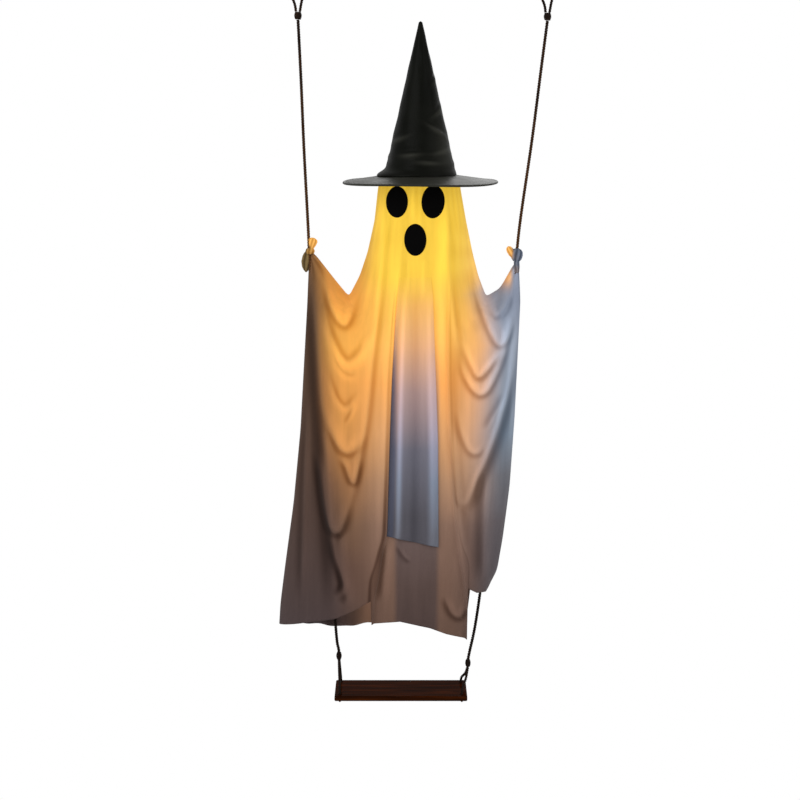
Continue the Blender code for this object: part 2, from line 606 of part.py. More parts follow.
# The sheet is a front and a back length, seamed down both sides in the plane of the swing
back = shroud.copy()
back.data = shroud.data.copy()
back.name = "shroud_back"
ghost.objects.link(back)
shroud.name = "shroud_front"
for length, away in ((shroud, 1), (back, -1)):
    bpy.ops.mesh.primitive_cube_add(size=1.0, location=(0.0, away * (SIDE_ROOM / 2 - GAP / 2), SIDE_MIDDLE))
    half_space = bpy.context.object
    half_space.scale = (SIDE_ROOM, SIDE_ROOM, 2 * SIDE_ROOM)
    activate(half_space)
    bpy.ops.object.transform_apply(location=False, rotation=False, scale=True)
    combine(length, half_space)
    bpy.data.objects.remove(half_space, do_unlink=True)

# Seat: a varnished plank with two holes near each end
bpy.ops.mesh.primitive_cube_add(size=1.0, location=(SEAT_X, 0.0, SEAT_TOP - SEAT_T / 2))
seat = bpy.context.object
for group in list(seat.users_collection):
    group.objects.unlink(seat)
ghost.objects.link(seat)
seat.name = "swing_seat"
seat.scale = (SEAT_W, SEAT_D, SEAT_T)
activate(seat)
bpy.ops.object.transform_apply(location=False, rotation=False, scale=True)
seat.data.materials.append(VARNISHED_WOOD)
rounding = seat.modifiers.new("rounded_edges", "BEVEL")
rounding.width = SEAT_EDGE
rounding.segments = 3
bpy.ops.object.modifier_apply(modifier=rounding.name)
for hole_x in (SEAT_X - SEAT_W / 2 + HOLE_IN, SEAT_X + SEAT_W / 2 - HOLE_IN):
    for hole_y in (-HOLE_Y, HOLE_Y):
        bpy.ops.mesh.primitive_cylinder_add(radius=HOLE_R, depth=3 * SEAT_T, vertices=16,
                                            location=(hole_x, hole_y, SEAT_TOP))
        drill = bpy.context.object
        combine(seat, drill)
        bpy.data.objects.remove(drill, do_unlink=True)
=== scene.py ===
import math
import random
from functools import partial

import bmesh
import bpy
import numpy as np
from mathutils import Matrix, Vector, noise
from mathutils.bvhtree import BVHTree


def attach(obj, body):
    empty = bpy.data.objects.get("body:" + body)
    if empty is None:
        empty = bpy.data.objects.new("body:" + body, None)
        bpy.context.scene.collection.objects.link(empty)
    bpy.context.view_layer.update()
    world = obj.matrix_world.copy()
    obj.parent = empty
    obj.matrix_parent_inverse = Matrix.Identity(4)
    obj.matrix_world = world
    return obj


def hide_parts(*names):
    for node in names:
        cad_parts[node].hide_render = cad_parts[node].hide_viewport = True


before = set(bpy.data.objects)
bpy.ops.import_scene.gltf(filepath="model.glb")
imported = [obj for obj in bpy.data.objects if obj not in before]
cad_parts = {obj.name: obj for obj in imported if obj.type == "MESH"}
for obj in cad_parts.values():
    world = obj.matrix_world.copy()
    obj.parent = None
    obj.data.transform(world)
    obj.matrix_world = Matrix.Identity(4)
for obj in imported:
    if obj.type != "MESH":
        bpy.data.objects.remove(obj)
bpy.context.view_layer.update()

# The view of the photograph: level with the hat's tip, a little to the left of the
# hat's own line, and tipped down so that the swing's seat shows its top.
def put_in_scene(name, data):
    """A new object of the data, in the scene."""
    made = bpy.data.objects.new(name, data)
    bpy.context.scene.collection.objects.link(made)
    return made


view = bpy.data.cameras.new("view")
view.lens = 93.15
view.sensor_width = 36.0
camera = put_in_scene("view", view)
camera.location = (-0.045, -4.6, -0.22)
camera.rotation_euler = (math.radians(90.0 - 9.066), 0.0, 0.0)
bpy.context.scene.camera = camera

# Ghost sheet: a front and a back length of thin polyester voile, seamed down both sides,
# gathered on a wire hoop under the hat and knotted round the swing ropes at the arms' ends.
# It is off-white. Its colour is painted light: the lamp's yellow glow in the head, brown shade down the
# left, cool blue-grey light down the right, and shade that deepens towards the hem.
CLOTH = 0.0009
TOP_Z = -0.455
FALL = 1.045
# share of the drop, left edge x z, right edge x z, middle z, front depth, back depth
CLOTH_ROWS = np.array((
    (0.00, -0.0885, -0.4545, 0.0865, -0.4545, -0.4545, 0.0870, 0.0870),
    (0.04, -0.0935, -0.4800, 0.0885, -0.4800, -0.4810, 0.0890, 0.0880),
    (0.12, -0.1010, -0.5500, 0.1010, -0.5500, -0.5560, 0.0950, 0.0920),
    (0.20, -0.1165, -0.6200, 0.1160, -0.6220, -0.6340, 0.1020, 0.0960),
    (0.26, -0.1342, -0.6730, 0.1290, -0.6730, -0.7000, 0.1060, 0.0980),
    (0.32, -0.1590, -0.7205, 0.1470, -0.7205, -0.7680, 0.1080, 0.0980),
    (0.37, -0.1880, -0.6850, 0.1790, -0.7010, -0.8120, 0.1100, 0.0960),
    (0.42, -0.2385, -0.6195, 0.2100, -0.6440, -0.8600, 0.1110, 0.0950),
    (0.45, -0.2470, -0.6320, 0.2195, -0.6500, -0.8950, 0.1120, 0.0940),
    (0.53, -0.2520, -0.7400, 0.2235, -0.7300, -0.9650, 0.1120, 0.0930),
    (0.62, -0.2600, -0.8700, 0.2190, -0.8400, -1.0450, 0.1120, 0.0920),
    (0.72, -0.2690, -1.0200, 0.2130, -0.9900, -1.1450, 0.1110, 0.0900),
    (0.82, -0.2860, -1.1900, 0.2030, -1.1500, -1.2500, 0.1080, 0.0880),
    (0.91, -0.3060, -1.3350, 0.1880, -1.2900, -1.3480, 0.1040, 0.0860),
    (0.97, -0.3180, -1.4250, 0.1760, -1.3750, -1.4140, 0.1010, 0.0840),
    (1.00, -0.3210, -1.4720, 0.1600, -1.4080, -1.4480, 0.1000, 0.0830)))
ROW_BEND = 2.6
LEFT_FOLD = ((-0.030, -0.455), (-0.041, -0.553), (-0.045, -0.618), (-0.054, -0.695), (-0.060, -0.761),
             (-0.067, -0.894), (-0.072, -1.028), (-0.078, -1.247), (-0.087, -1.281), (-0.097, -1.345),
             (-0.108, -1.393), (-0.112, -1.480))
RIGHT_FOLD = ((0.055, -0.455), (0.057, -0.586), (0.064, -0.673), (0.063, -0.894), (0.067, -1.003),
              (0.075, -1.115), (0.083, -1.229), (0.095, -1.299), (0.104, -1.334), (0.109, -1.377),
              (0.108, -1.500))
FOLD_STEP = 0.014
FOLD_STARTS = -0.66
FOLD_FULL = -0.78
LEFT_SHARE = -0.30
RIGHT_SHARE = 0.32
FOLD_RUN = 0.022
HEM_LEFT = ((-0.321, -1.472), (-0.250, -1.452), (-0.190, -1.438), (-0.150, -1.418), (-0.108, -1.393))
HEM_MIDDLE = ((-0.112, -1.450), (-0.079, -1.447), (-0.045, -1.445), (0.023, -1.463), (0.060, -1.480),
              (0.108, -1.496))
HEM_RIGHT = ((0.109, -1.377), (0.129, -1.390), (0.150, -1.392), (0.160, -1.378))
HEM_BACK = ((-0.321, -1.472), (-0.250, -1.486), (-0.180, -1.500), (-0.110, -1.492), (-0.045, -1.476),
            (0.024, -1.492), (0.095, -1.490), (0.108, -1.470), (0.120, -1.372), (0.160, -1.378))
# Folds in mm: height, width left of its run, width right of it, shade, then x and z of each point of the run
FOLDS = (
    (3, 8, 8, 0.3, -88, -482, -97, -553, -104, -607, -115, -687, -137, -786),
    (6, 8, 5, 0.6, -176, -1227, -148, -1140, -139, -1086, -120, -987, -107, -844, -93, -731, -85, -661, -79, -575,
     -78, -531, -75, -477),
    (5, 14, 5, 0.6, -101, -1379, -92, -1283, -82, -1158, -73, -1005, -65, -885, -57, -794, -50, -730, -46, -651,
     -43, -586, -41, -499),
    (2, 4, 3, 0.3, -28, -618, -28, -662, -30, -717),
    (3, 7, 9, 0.3, -16, -547, -16, -510, -15, -469),
    (3, 8, 9, 0.3, 7, -717, 7, -662, 7, -621),
    (6, 17, 8, 0.5, 107, -1374, 94, -1276, 84, -1197, 72, -1117, 64, -1027, 60, -938, 56, -827, 53, -717, 53, -586,
     53, -531, 52, -477),
    (5, 9, 5, 0.5, 103, -911, 88, -866, 79, -809, 70, -742, 61, -652, 60, -564, 60, -477),
    (8, 9, 11, 0.72, -239, -623, -234, -702, -227, -790, -220, -904, -211, -1009, -203, -1122, -195, -1236,
     -191, -1328, -187, -1425),
    (8, 10, 5, 0.8, -222, -629, -212, -680, -197, -734, -181, -764, -166, -776, -155, -757, -146, -723),
    (8, 14, 5, 0.8, -113, -797, -127, -830, -142, -848, -161, -860, -177, -846, -195, -810, -208, -777, -221, -709),
    (3, 9, 3, 0.5, -138, -886, -155, -891, -172, -884, -186, -868, -199, -835),
    (5, 9, 4, 0.6, -133, -924, -154, -953, -170, -961, -190, -938, -208, -879),
    (3, 5, 3, 0.5, -142, -947, -151, -971, -165, -998),
    (8, 15, 6, 0.9, -213, -942, -202, -996, -189, -1027, -176, -1048, -163, -1056, -149, -1050, -138, -1034,
     -129, -1009),
    (6, 8, 5, 0.8, -178, -1066, -163, -1086, -156, -1109, -148, -1125, -141, -1095, -136, -1066),
    (7, 12, 6, 0.9, -229, -1055, -221, -1102, -212, -1179, -201, -1227, -182, -1240, -170, -1204, -159, -1168),
    (5, 9, 5, 0.8, -199, -1230, -188, -1296, -175, -1333, -168, -1356, -175, -1374, -187, -1390),
    (6, 10, 8, 0.7, -170, -1225, -177, -1271, -166, -1340, -157, -1386, -166, -1409),
    (4, 7, 6, 0.4, -246, -897, -256, -1100, -259, -1214, -262, -1305, -265, -1409),
    (9, 12, 5, 0.9, 113, -621, 119, -671, 129, -713, 147, -770, 165, -808, 178, -823, 191, -808, 202, -775,
     210, -731),
    (4, 8, 5, 0.6, 151, -726, 166, -759, 186, -746, 203, -698),
    (4, 5, 8, 0.7, 212, -649, 205, -702, 190, -748, 171, -768),
    (8, 7, 6, 0.8, 96, -809, 109, -848, 127, -890, 145, -873, 162, -853, 180, -833),
    (9, 10, 5, 0.9, 82, -783, 89, -831, 96, -876, 112, -908, 131, -928, 148, -921, 173, -872, 191, -819, 204, -753),
    (7, 6, 9, 0.9, 93, -1182, 107, -1166, 124, -1115, 139, -1086, 164, -1027, 191, -942, 204, -879, 210, -786,
     214, -687),
    (4, 6, 6, 0.5, 192, -931, 177, -964, 161, -987, 148, -1014),
    (5, 8, 5, 0.6, 83, -956, 92, -1010, 104, -1041, 113, -1055, 126, -1060, 142, -1043),
    (6, 10, 4, 0.6, 67, -983, 72, -1050, 79, -1117, 84, -1163, 93, -1182),
    (6, 9, 10, 0.6, 151, -1100, 147, -1179, 147, -1271, 148, -1374),
    (4, 9, 5, 0.8, 58, -1386, 71, -1425, 89, -1442, 103, -1411),
    (4, 8, 8, 0.5, -69, -1258, -76, -1333, -81, -1402),
    (2, 4, 4, 0.4, -49, -1265, -36, -1290, -18, -1304))
BACK_PLEATS = 9
BACK_PLEAT_HEIGHT = 0.006
HANDS = ((-0.2445, -0.6240), (0.2150, -0.6440))
HAND_REACH = 0.17
HAND_FLATNESS = 0.12
HOOP_PLEATS = 26
FAN_PLEATS = 13
FAN_FADE = 0.060


def ease(value):
    """A smooth rise from 0 to 1 as the value does."""
    value = np.clip(value, 0.0, 1.0)
    return value * value * (3.0 - 2.0 * value)


def bell(off, width):
    return np.exp(-(off / width) ** 2)


def around(count):
    """The angles of a full turn in equal steps."""
    return [2 * math.pi * k / count for k in range(count)]


def softened(places, values, count, spread):
    """A line through points with its corners rounded off, read at an even step."""
    even = np.linspace(places[0], places[-1], count)
    line = np.interp(even, places, values)
    kernel = np.hanning(2 * spread + 3)[1:-1]
    padded = np.pad(line, spread, mode="reflect", reflect_type="odd")
    return even, np.convolve(padded, kernel / kernel.sum(), mode="valid")


SMOOTH_ROWS = np.stack([softened(CLOTH_ROWS[:, 0], CLOTH_ROWS[:, k], 500, 9)[1] for k in range(1, 8)], axis=1)
SMOOTH_LINES = {}
for name, line in (("left", LEFT_FOLD), ("right", RIGHT_FOLD)):
    xs, zs = np.array(line).T
    SMOOTH_LINES[name] = softened(-zs, xs, 400, 12)


def fold_effect(x, z, height, left_width, right_width, shade, *run):
    """What one fold adds to the cloth's height and to its light and dark, in mm."""
    axes = [np.interp(np.linspace(0, len(axis) - 1, 4 * len(axis) - 3), range(len(axis)), axis)
            for axis in (run[::2], run[1::2])]
    run = list(zip(*[np.convolve(np.pad(axis, 2, mode="reflect", reflect_type="odd"), (0.1, 0.2, 0.4, 0.2, 0.1),
                                 mode="valid") for axis in axes]))
    nearest = np.full(x.shape, 9000.0)
    along = np.zeros(x.shape)
    aside = np.zeros(x.shape)
    for k, ((ax, az), (bx, bz)) in enumerate(zip(run, run[1:])):
        share = ((x - ax) * (bx - ax) + (z - az) * (bz - az)) / ((bx - ax) ** 2 + (bz - az) ** 2)
        share = np.clip(share, 0.0, 1.0)
        away = np.hypot(x - ax - share * (bx - ax), z - az - share * (bz - az))
        closer = away < nearest
        is_left = (z - az) * (bx - ax) > (x - ax) * (bz - az)
        along = np.where(closer, (k + share) / (len(run) - 1), along)
        aside = np.where(closer, np.where(is_left, away, -away), aside)
        nearest = np.minimum(away, nearest)
    fade = ease(np.minimum(1.0, 0.12 + 3.5 * np.minimum(along, 1.0 - along)))
    rise = height * fade * bell(aside, np.where(aside > 0, left_width, right_width))
    lit = bell(aside - 0.25 * left_width, left_width)
    dim = bell(aside + 1.5 * right_width, 1.5 * right_width)
    return rise, shade * fade * (0.85 * lit - dim)


def hem_z(line, x):
    return np.interp(x, *zip(*line))


def cloth_row(share):
    """The edges, middle and depths of the cloth at a share of its drop."""
    places = np.clip(np.asarray(share), 0.0, 1.0) * (len(SMOOTH_ROWS) - 1)
    low = np.minimum(places.astype(int), len(SMOOTH_ROWS) - 2)
    part = (places - low)[..., None]
    return np.moveaxis(SMOOTH_ROWS[low] * (1.0 - part) + SMOOTH_ROWS[low + 1] * part, -1, 0)


def cloth_point(across, share, front):
    """A place on the cloth: across runs -1 left to 1 right, share runs hoop to hem."""
    left_x, left_z, right_x, right_z, middle_z, front_depth, back_depth = cloth_row(share)
    bend = np.abs(across) ** ROW_BEND
    z = middle_z + np.where(across < 0, left_z - middle_z, right_z - middle_z) * bend
    left_fold = np.interp(-z, *SMOOTH_LINES["left"])
    right_fold = np.interp(-z, *SMOOTH_LINES["right"])
    head = 1.0 - ease((share - 0.2) / 0.25)
    left_part = np.clip((across + 1.0) / (1.0 + LEFT_SHARE), 0.0, 1.0)
    right_part = np.clip((1.0 - across) / (1.0 - RIGHT_SHARE), 0.0, 1.0)
    bunch = 0.35 + 0.65 * head
    left_part = (1.0 - bunch) * left_part + bunch * (1.0 - np.cos(left_part * math.pi / 2))
    right_part = (1.0 - bunch) * right_part + bunch * (1.0 - np.cos(right_part * math.pi / 2))
    between = np.clip((across - LEFT_SHARE) / (RIGHT_SHARE - LEFT_SHARE), 0.0, 1.0)
    x = left_fold + (right_fold - left_fold) * between
    x = np.where(across < LEFT_SHARE, left_x + (left_fold - left_x) * left_part, x)
    x = np.where(across > RIGHT_SHARE, right_x + (right_fold - right_x) * right_part, x)
    drop = ease((share - 0.80) / 0.20)
    if front:
        target = np.where(across < LEFT_SHARE + 0.001, hem_z(HEM_LEFT, x), hem_z(HEM_MIDDLE, x))
        target = np.where(across > RIGHT_SHARE - 0.001, hem_z(HEM_RIGHT, x), target)
    else:
        target = hem_z(HEM_BACK, x)
    base = CLOTH_ROWS[-1]
    flat = base[5] + np.where(across < 0, base[2] - base[5], base[4] - base[5]) * bend
    return x, z + (target - flat) * drop


def cloth_shape(x, z, across, share, front):
    """How far the cloth stands out from the plane of the swing, and its light and dark."""
    left_x, left_z, right_x, right_z, middle_z, front_depth, back_depth = cloth_row(share)
    half = (right_x - left_x) / 2
    offset = (x - (left_x + right_x) / 2) / half
    side = np.clip(np.abs(offset), 0.0, 1.0)
    head = 1.0 - ease((share - 0.14) / 0.25)
    power = 0.5 * head + 0.68 * (1.0 - head)
    depth = (front_depth if front else back_depth) * (1.0 - side ** 2.1) ** power
    flatness = 1.0
    for hand_x, hand_z in HANDS:
        near = ease(np.hypot(x - hand_x, z - hand_z) / HAND_REACH)
        flatness = flatness * (HAND_FLATNESS + (1.0 - HAND_FLATNESS) * near)
    depth = depth * flatness
    edge = ease((1.0 - side) / 0.12)
    gathers = np.cos(HOOP_PLEATS * np.arcsin(np.clip(offset, -1.0, 1.0)) + 2.0 * np.sin(7.0 * offset))
    gathers = gathers * (1.0 - ease(share / 0.22))
    depth = depth + 0.0012 * gathers * edge
    # Painted light and dark along the gathers at the hoop and the fan pleats at the hands.
    tone = 0.10 * gathers
    for hand_x, hand_z in HANDS:
        away = np.hypot(x - hand_x, z - hand_z)
        facing = np.arctan2(x - hand_x, hand_z - z)
        fan = np.cos(FAN_PLEATS * facing + 1.5 * np.sin(3.0 * facing)) * np.exp(-away / FAN_FADE) * ease(away / 0.010)
        depth = depth + 0.0012 * fan * edge
        tone = tone + 0.55 * fan
    if front:
        stand = FOLD_STEP * ease((FOLD_STARTS - z) / (FOLD_STARTS - FOLD_FULL))
        run = np.maximum(ease(1.0 - (across - LEFT_SHARE) / FOLD_RUN), ease(1.0 - (RIGHT_SHARE - across) / FOLD_RUN))
        depth = depth - stand * (1.0 - run)
        # The two front folds throw a shade on the cloth that they turn back on.
        turned = bell(across - LEFT_SHARE + 0.008, 0.010) + 0.4 * bell(across - RIGHT_SHARE - 0.008, 0.010)
        tone = tone - 0.8 * turned * ease((FOLD_STARTS - z) / 0.10)
        # A painted band of light along the right edge, from z -0.70 down to -1.15.
        tone = tone + 0.45 * ease((offset - 0.92) / 0.05) * ease((-0.70 - z) / 0.08) * ease((z + 1.15) / 0.10)
        # Each fold's painted light and dark; its painted shade is weaker in the head.
        for fold in FOLDS:
            rise, shading = fold_effect(1000 * x, 1000 * z, *fold)
            depth = depth + edge * 0.001 * rise
            tone = tone + shading * np.where(shading > 0, 1.0, 0.25 + 0.75 * ease((-0.66 - z) / 0.12))
    else:
        wave = np.cos(math.pi * BACK_PLEATS * offset + 1.3 * np.sin(9.0 * z))
        depth = depth + edge * BACK_PLEAT_HEIGHT * (0.4 + 0.6 * ease(share * 2.0)) * wave
        # The back's pleats get painted light and dark too.
        tone = tone + 0.3 * wave
    return depth, np.clip(tone, -1.0, 1.0)


def lamp_light(x, z, front):
    """How much of the lamp's light comes through the cloth at x and z."""
    down = np.interp(-z, (0.75, 1.05, 1.25, 1.45), (1.0, 0.85, 0.62, 0.45))
    left_edge = np.interp(-z, (0.62, 0.74, 0.95, 1.10, 1.30), (-0.258, -0.242, -0.240, -0.228, -0.208))
    right_edge = np.interp(-z, (0.60, 0.66, 0.71, 0.82, 0.90, 1.00, 1.15, 1.25),
                           (0.125, 0.115, 0.080, 0.115, 0.105, 0.102, 0.098, 0.085))
    across = ease((x - left_edge) / 0.070) * (1.0 - ease((x - right_edge) / 0.090))
    wrist = 0.95 * bell(np.hypot(x - 0.195, z + 0.674), 0.022) * (1.0 - ease((x - 0.198) / 0.012))
    middle = ease((x + 0.062) / 0.014) * (1.0 - ease((x - 0.032) / 0.014)) * ease((-0.80 - z) / 0.18)
    return np.maximum(down * across * (1.0 - (0.9 if front else 0.0) * middle), wrist)


def mesh_object(name, places, faces, surface, centre=None):
    """A smooth-shaded piece from its points and faces. An open one turns its faces away from its centre."""
    data = bpy.data.meshes.new(name)
    data.from_pydata([tuple(place) for place in places], [], faces)
    data.polygons.foreach_set("use_smooth", [True] * len(data.polygons))
    shape = bmesh.new()
    shape.from_mesh(data)
    bmesh.ops.recalc_face_normals(shape, faces=shape.faces)
    if centre and sum(face.normal.dot(face.calc_center_median() - centre) for face in shape.faces) < 0:
        bmesh.ops.reverse_faces(shape, faces=shape.faces)
    shape.to_mesh(data)
    shape.free()
    data.materials.append(surface)
    return put_in_scene(name, data)


def paint(data, layer_name, values):
    """Keeps three values with each point of a mesh, for its material to read."""
    layer = data.color_attributes.new(layer_name, "FLOAT_COLOR", "POINT")
    layer.data.foreach_set("color", np.concatenate((values, np.ones((len(values), 1))), axis=1).ravel())


def dress(piece, node):
    """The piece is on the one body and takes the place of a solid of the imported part."""
    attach(piece, "root")
    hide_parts(node)


def grid_faces(lines, columns, closed, first=0):
    """Faces of a grid of points that runs line by line, joined round if it is closed."""
    faces = []
    for low in range(first, first + (lines - 1) * columns, columns):
        for column in range(columns if closed else columns - 1):
            after = (column + 1) % columns
            faces.append((low + column, low + after, low + columns + after, low + columns + column))
    return faces


def apply_modifiers(item):
    depsgraph = bpy.context.evaluated_depsgraph_get()
    bpy.context.view_layer.update()
    data = bpy.data.meshes.new_from_object(item.evaluated_get(depsgraph))
    item.modifiers.clear()
    item.data = data


def thicken(item, amount):
    step = item.modifiers.new("thickness", "SOLIDIFY")
    step.thickness = amount
    step.offset = 0.0
    apply_modifiers(item)


def linear(code, alpha=1.0):
    """An sRGB hex colour as linear values."""
    levels = [int(code[k:k + 2], 16) / 255 for k in (1, 3, 5)]
    return (*[v / 12.92 if v <= 0.04045 else ((v + 0.055) / 1.055) ** 2.4 for v in levels], alpha)


def fill(node, inputs):
    """Sets a node's inputs. Each takes a value, another node's output, or a node for its first output."""
    for key, value in inputs.items():
        if isinstance(value, bpy.types.Node):
            value = value.outputs[0]
        if isinstance(value, bpy.types.NodeSocket):
            node.id_data.links.new(value, node.inputs[key])
        else:
            node.inputs[key].default_value = value


def add_node(tree, kind, inputs=None, stops=None, **settings):
    """A node with its settings, its inputs and the stops of its ramp."""
    made = tree.nodes.new("ShaderNode" + kind)
    for key, value in settings.items():
        setattr(made, key, value)
    fill(made, inputs or {})
    if stops:
        ramp = made.color_ramp.elements
        while len(ramp) < len(stops):
            ramp.new(0.5)
        for element, (place, colour) in zip(ramp, stops):
            element.position = place
            element.color = linear(colour) if isinstance(colour, str) else (colour, colour, colour, 1.0)
    return made


def new_material(name, **values):
    """A material with its plain values set, what adds nodes to it, its shader, and the place on the object."""
    made = bpy.data.materials.new(name)
    made.use_nodes = True
    shader = made.node_tree.nodes["Principled BSDF"]
    fill(shader, {key.replace("_", " "): value for key, value in values.items()})
    add = partial(add_node, made.node_tree)
    return made, add, shader, add("TexCoord").outputs["Object"]


def voile_cloth(name, room_lit, lit):
    """Voile: soft, no shine. Its ramps are painted light, down the left, middle and right, in room light and in lamp
    light.
    """
    surface, add, shader, place = new_material(name, Roughness=0.9, IOR=1.5, Specular_IOR_Level=0.1,
                                               Sheen_Weight=0.06, Sheen_Roughness=0.5)
    # The painted light kept on each point: lamp glow, fold light and dark, and side for the room-light ramps.
    painted_light = add("SeparateColor", {0: add("Attribute", attribute_name="painted_light")})
    lamp, fold, side = painted_light.outputs
    wander = add("TexNoise", {"Vector": place, "Scale": 7.0, "Detail": 2.0})
    drift = add("Math", {0: wander, 1: -0.5}, operation="ADD")
    fallen = add("MapRange", {"Value": add("SeparateXYZ", {0: place}).outputs["Z"], "From Min": TOP_Z,
                              "From Max": TOP_Z - FALL})
    height = add("Math", {0: drift, 1: 0.05, 2: fallen}, operation="MULTIPLY_ADD")
    to_middle = add("MapRange", {"Value": side, "From Max": 0.5})
    to_right = add("MapRange", {"Value": side, "From Min": 0.5})
    lights = []
    for ramps in (room_lit, lit):
        left, middle, right = [add("ValToRGB", {"Fac": height}, stops) for stops in ramps]
        tone = add("Mix", {0: to_middle, 6: left, 7: middle}, data_type="RGBA").outputs[2]
        lights.append(add("Mix", {0: to_right, 6: tone, 7: right}, data_type="RGBA").outputs[2])
    tone = add("Mix", {0: lamp, 6: lights[0], 7: lights[1]}, data_type="RGBA").outputs[2]
    # Colour deepens in the shade of a fold.
    depth = add("MapRange", {"Value": fold, "From Max": 0.5, "To Min": 1.35, "To Max": 1.0})
    tone = add("Gamma", {"Color": tone, "Gamma": depth})
    # A thread is 0.15 mm; the bands are drawn 1 mm apart so that the weave shows.
    weft, warp = [add("TexWave", {"Vector": place, "Scale": 300.0, "Distortion": 0.8},
                      bands_direction=way).outputs["Fac"] for way in "ZX"]
    threads = add("Math", {0: weft, 1: warp}, operation="ADD")
    streaks = add("Mapping", {"Vector": place, "Scale": (60.0, 60.0, 4.0)})
    streaks = add("TexNoise", {"Vector": streaks, "Scale": 1.0, "Detail": 3.0})
    slub = add("MapRange", {"Value": streaks, "From Min": 0.25, "From Max": 0.75, "To Min": 0.92, "To Max": 1.08})
    grain = add("MapRange", {"Value": threads, "From Max": 2.0, "To Min": 0.96, "To Max": 1.03})
    # The painted fold light and dark brighten and darken the colour.
    level = add("MapRange", {"Value": fold, "To Min": 0.60, "To Max": 1.50})
    for part in (slub, grain):
        level = add("Math", {0: level, 1: part}, operation="MULTIPLY")
    shown = add("VectorMath", {0: tone, "Scale": level}, operation="SCALE")
    # Where the lamp shines through, half of the colour is a painted glow that the cloth itself emits.
    dimmed = add("MapRange", {"Value": lamp, "To Min": 1.0, "To Max": 0.5})
    crinkle = add("TexNoise", {"Vector": place, "Scale": 45.0, "Detail": 3.0})
    fine = add("Bump", {"Height": threads, "Distance": 0.0002, "Strength": 0.25})
    fill(shader, {"Base Color": add("VectorMath", {0: shown, "Scale": dimmed}, operation="SCALE"),
                  "Emission Color": shown,
                  "Emission Strength": add("Math", {0: lamp, 1: 0.5}, operation="MULTIPLY"),
                  "Normal": add("Bump", {"Height": crinkle, "Distance": 0.0012, "Strength": 0.3, "Normal": fine})})
    return surface


# Painted light: in room light the sheet is brown shade on the left, cool blue-grey light on the right and darker
# towards the hem; SHEET_LIT is its colour in the lamp's painted glow.
SHEET_TONES = (
    ((0.0, "#6A4E38"), (0.3, "#5E4634"), (0.6, "#544036"), (1.0, "#4A3E3E")),
    ((0.0, "#B8A49C"), (0.26, "#B8A094"), (0.35, "#C6A28C"), (0.43, "#B89A88"), (0.54, "#A58E84"),
     (0.64, "#887470"), (0.74, "#665654"), (0.86, "#524340"), (1.0, "#463937")),
    ((0.15, "#8C93A6"), (0.26, "#8E97AA"), (0.35, "#A2ACBD"), (0.43, "#98A2B2"), (0.54, "#8592A2"),
     (0.64, "#717279"), (0.74, "#645E62"), (1.0, "#4C4649")))
SHEET_LIT = (
    ((0.12, "#CF9048"), (0.25, "#E8A04A"), (0.35, "#FBB252"), (0.43, "#F2A652"), (0.54, "#DC9852"),
     (0.64, "#A8764C"), (0.74, "#856248"), (0.83, "#6E5040"), (1.0, "#5C463A")),
    ((0.0, "#FDD044"), (0.19, "#FCCE48"), (0.26, "#FDC254"), (0.35, "#FEBC5C"), (0.43, "#F5A956"),
     (0.54, "#DA9E64"), (0.64, "#B48862"), (0.74, "#94725C"), (0.83, "#8E6C58"), (1.0, "#80604C")),
    ((0.05, "#FFCE5E"), (0.18, "#FFC47E"), (0.26, "#F4B272"), (0.35, "#F2B27C"), (0.43, "#ECB68E"),
     (0.54, "#D4AC98"), (0.64, "#BC9A86"), (0.74, "#9C8074"), (0.83, "#866C62"), (1.0, "#74594C")))
voile = voile_cloth("voile", SHEET_TONES, SHEET_LIT)

front_across = np.concatenate((np.linspace(-1.0, LEFT_SHARE - 0.004, 78),
                               np.linspace(LEFT_SHARE, LEFT_SHARE + FOLD_RUN, 5),
                               np.linspace(LEFT_SHARE + 0.035, RIGHT_SHARE - 0.035, 34),
                               np.linspace(RIGHT_SHARE - FOLD_RUN, RIGHT_SHARE, 5),
                               np.linspace(RIGHT_SHARE + 0.004, 1.0, 70)))
back_across = np.linspace(1.0, -1.0, 90)
RIPPLE = 0.0016
SEAM_APART = 0.0002
for name, node, across, is_front, lines, flat in (
        ("front_length", "shroud_front", front_across, True, 230, (0.60, 1.08)),
        ("back_length", "shroud_back", back_across, False, 170, (0.58, 1.06))):
    wide, tall = np.meshgrid(across, np.linspace(0.0, 1.0, lines))
    x, z = cloth_point(wide, tall, is_front)
    depth, tone = cloth_shape(x, z, wide, tall, is_front)
    for index in np.ndindex(x.shape):
        ripple = noise.noise(Vector((x[index] * 22, z[index] * 7, 3.0 if is_front else 9.0)))
        depth[index] += RIPPLE * ripple * min(1.0, abs(depth[index]) / 0.01)
    y = (-depth - SEAM_APART) if is_front else (depth + SEAM_APART)
    from_side = 0.5 * ease((x + 0.16) / 0.09) + 0.5 * ease((x - 0.055) / 0.135)
    # The folds that stand out on the right catch the cool light of the room.
    warm = lamp_light(x, z, is_front) * (1.0 - 0.5 * ease((x - 0.12) / 0.05) * np.clip(tone, 0.0, 1.0))
    if not is_front:
        # The back shows through under the front's turned-up corner, and the lamp lights it there.
        low = bell(x + 0.125, 0.05) * ease((-1.30 - z) / 0.08)
        warm, tone = np.maximum(warm, low), tone + 0.5 * low
    # The painted light kept on each point: lamp glow, fold light and dark, and side for the room-light ramps.
    painted_light = np.stack((warm, 0.5 + 0.5 * tone, from_side), axis=-1).reshape(-1, 3)
    sheet = mesh_object(name, np.stack((x, y, z), axis=-1).reshape(-1, 3), grid_faces(lines, len(across), False),
                        voile, Vector((-0.03, 0.0, -0.95)))
    paint(sheet.data, "painted_light", painted_light)
    if is_front:
        laying = BVHTree.FromPolygons([vert.co for vert in sheet.data.vertices],
                                      [face.vertices for face in sheet.data.polygons])
    thicken(sheet, CLOTH)
    dress(sheet, node)
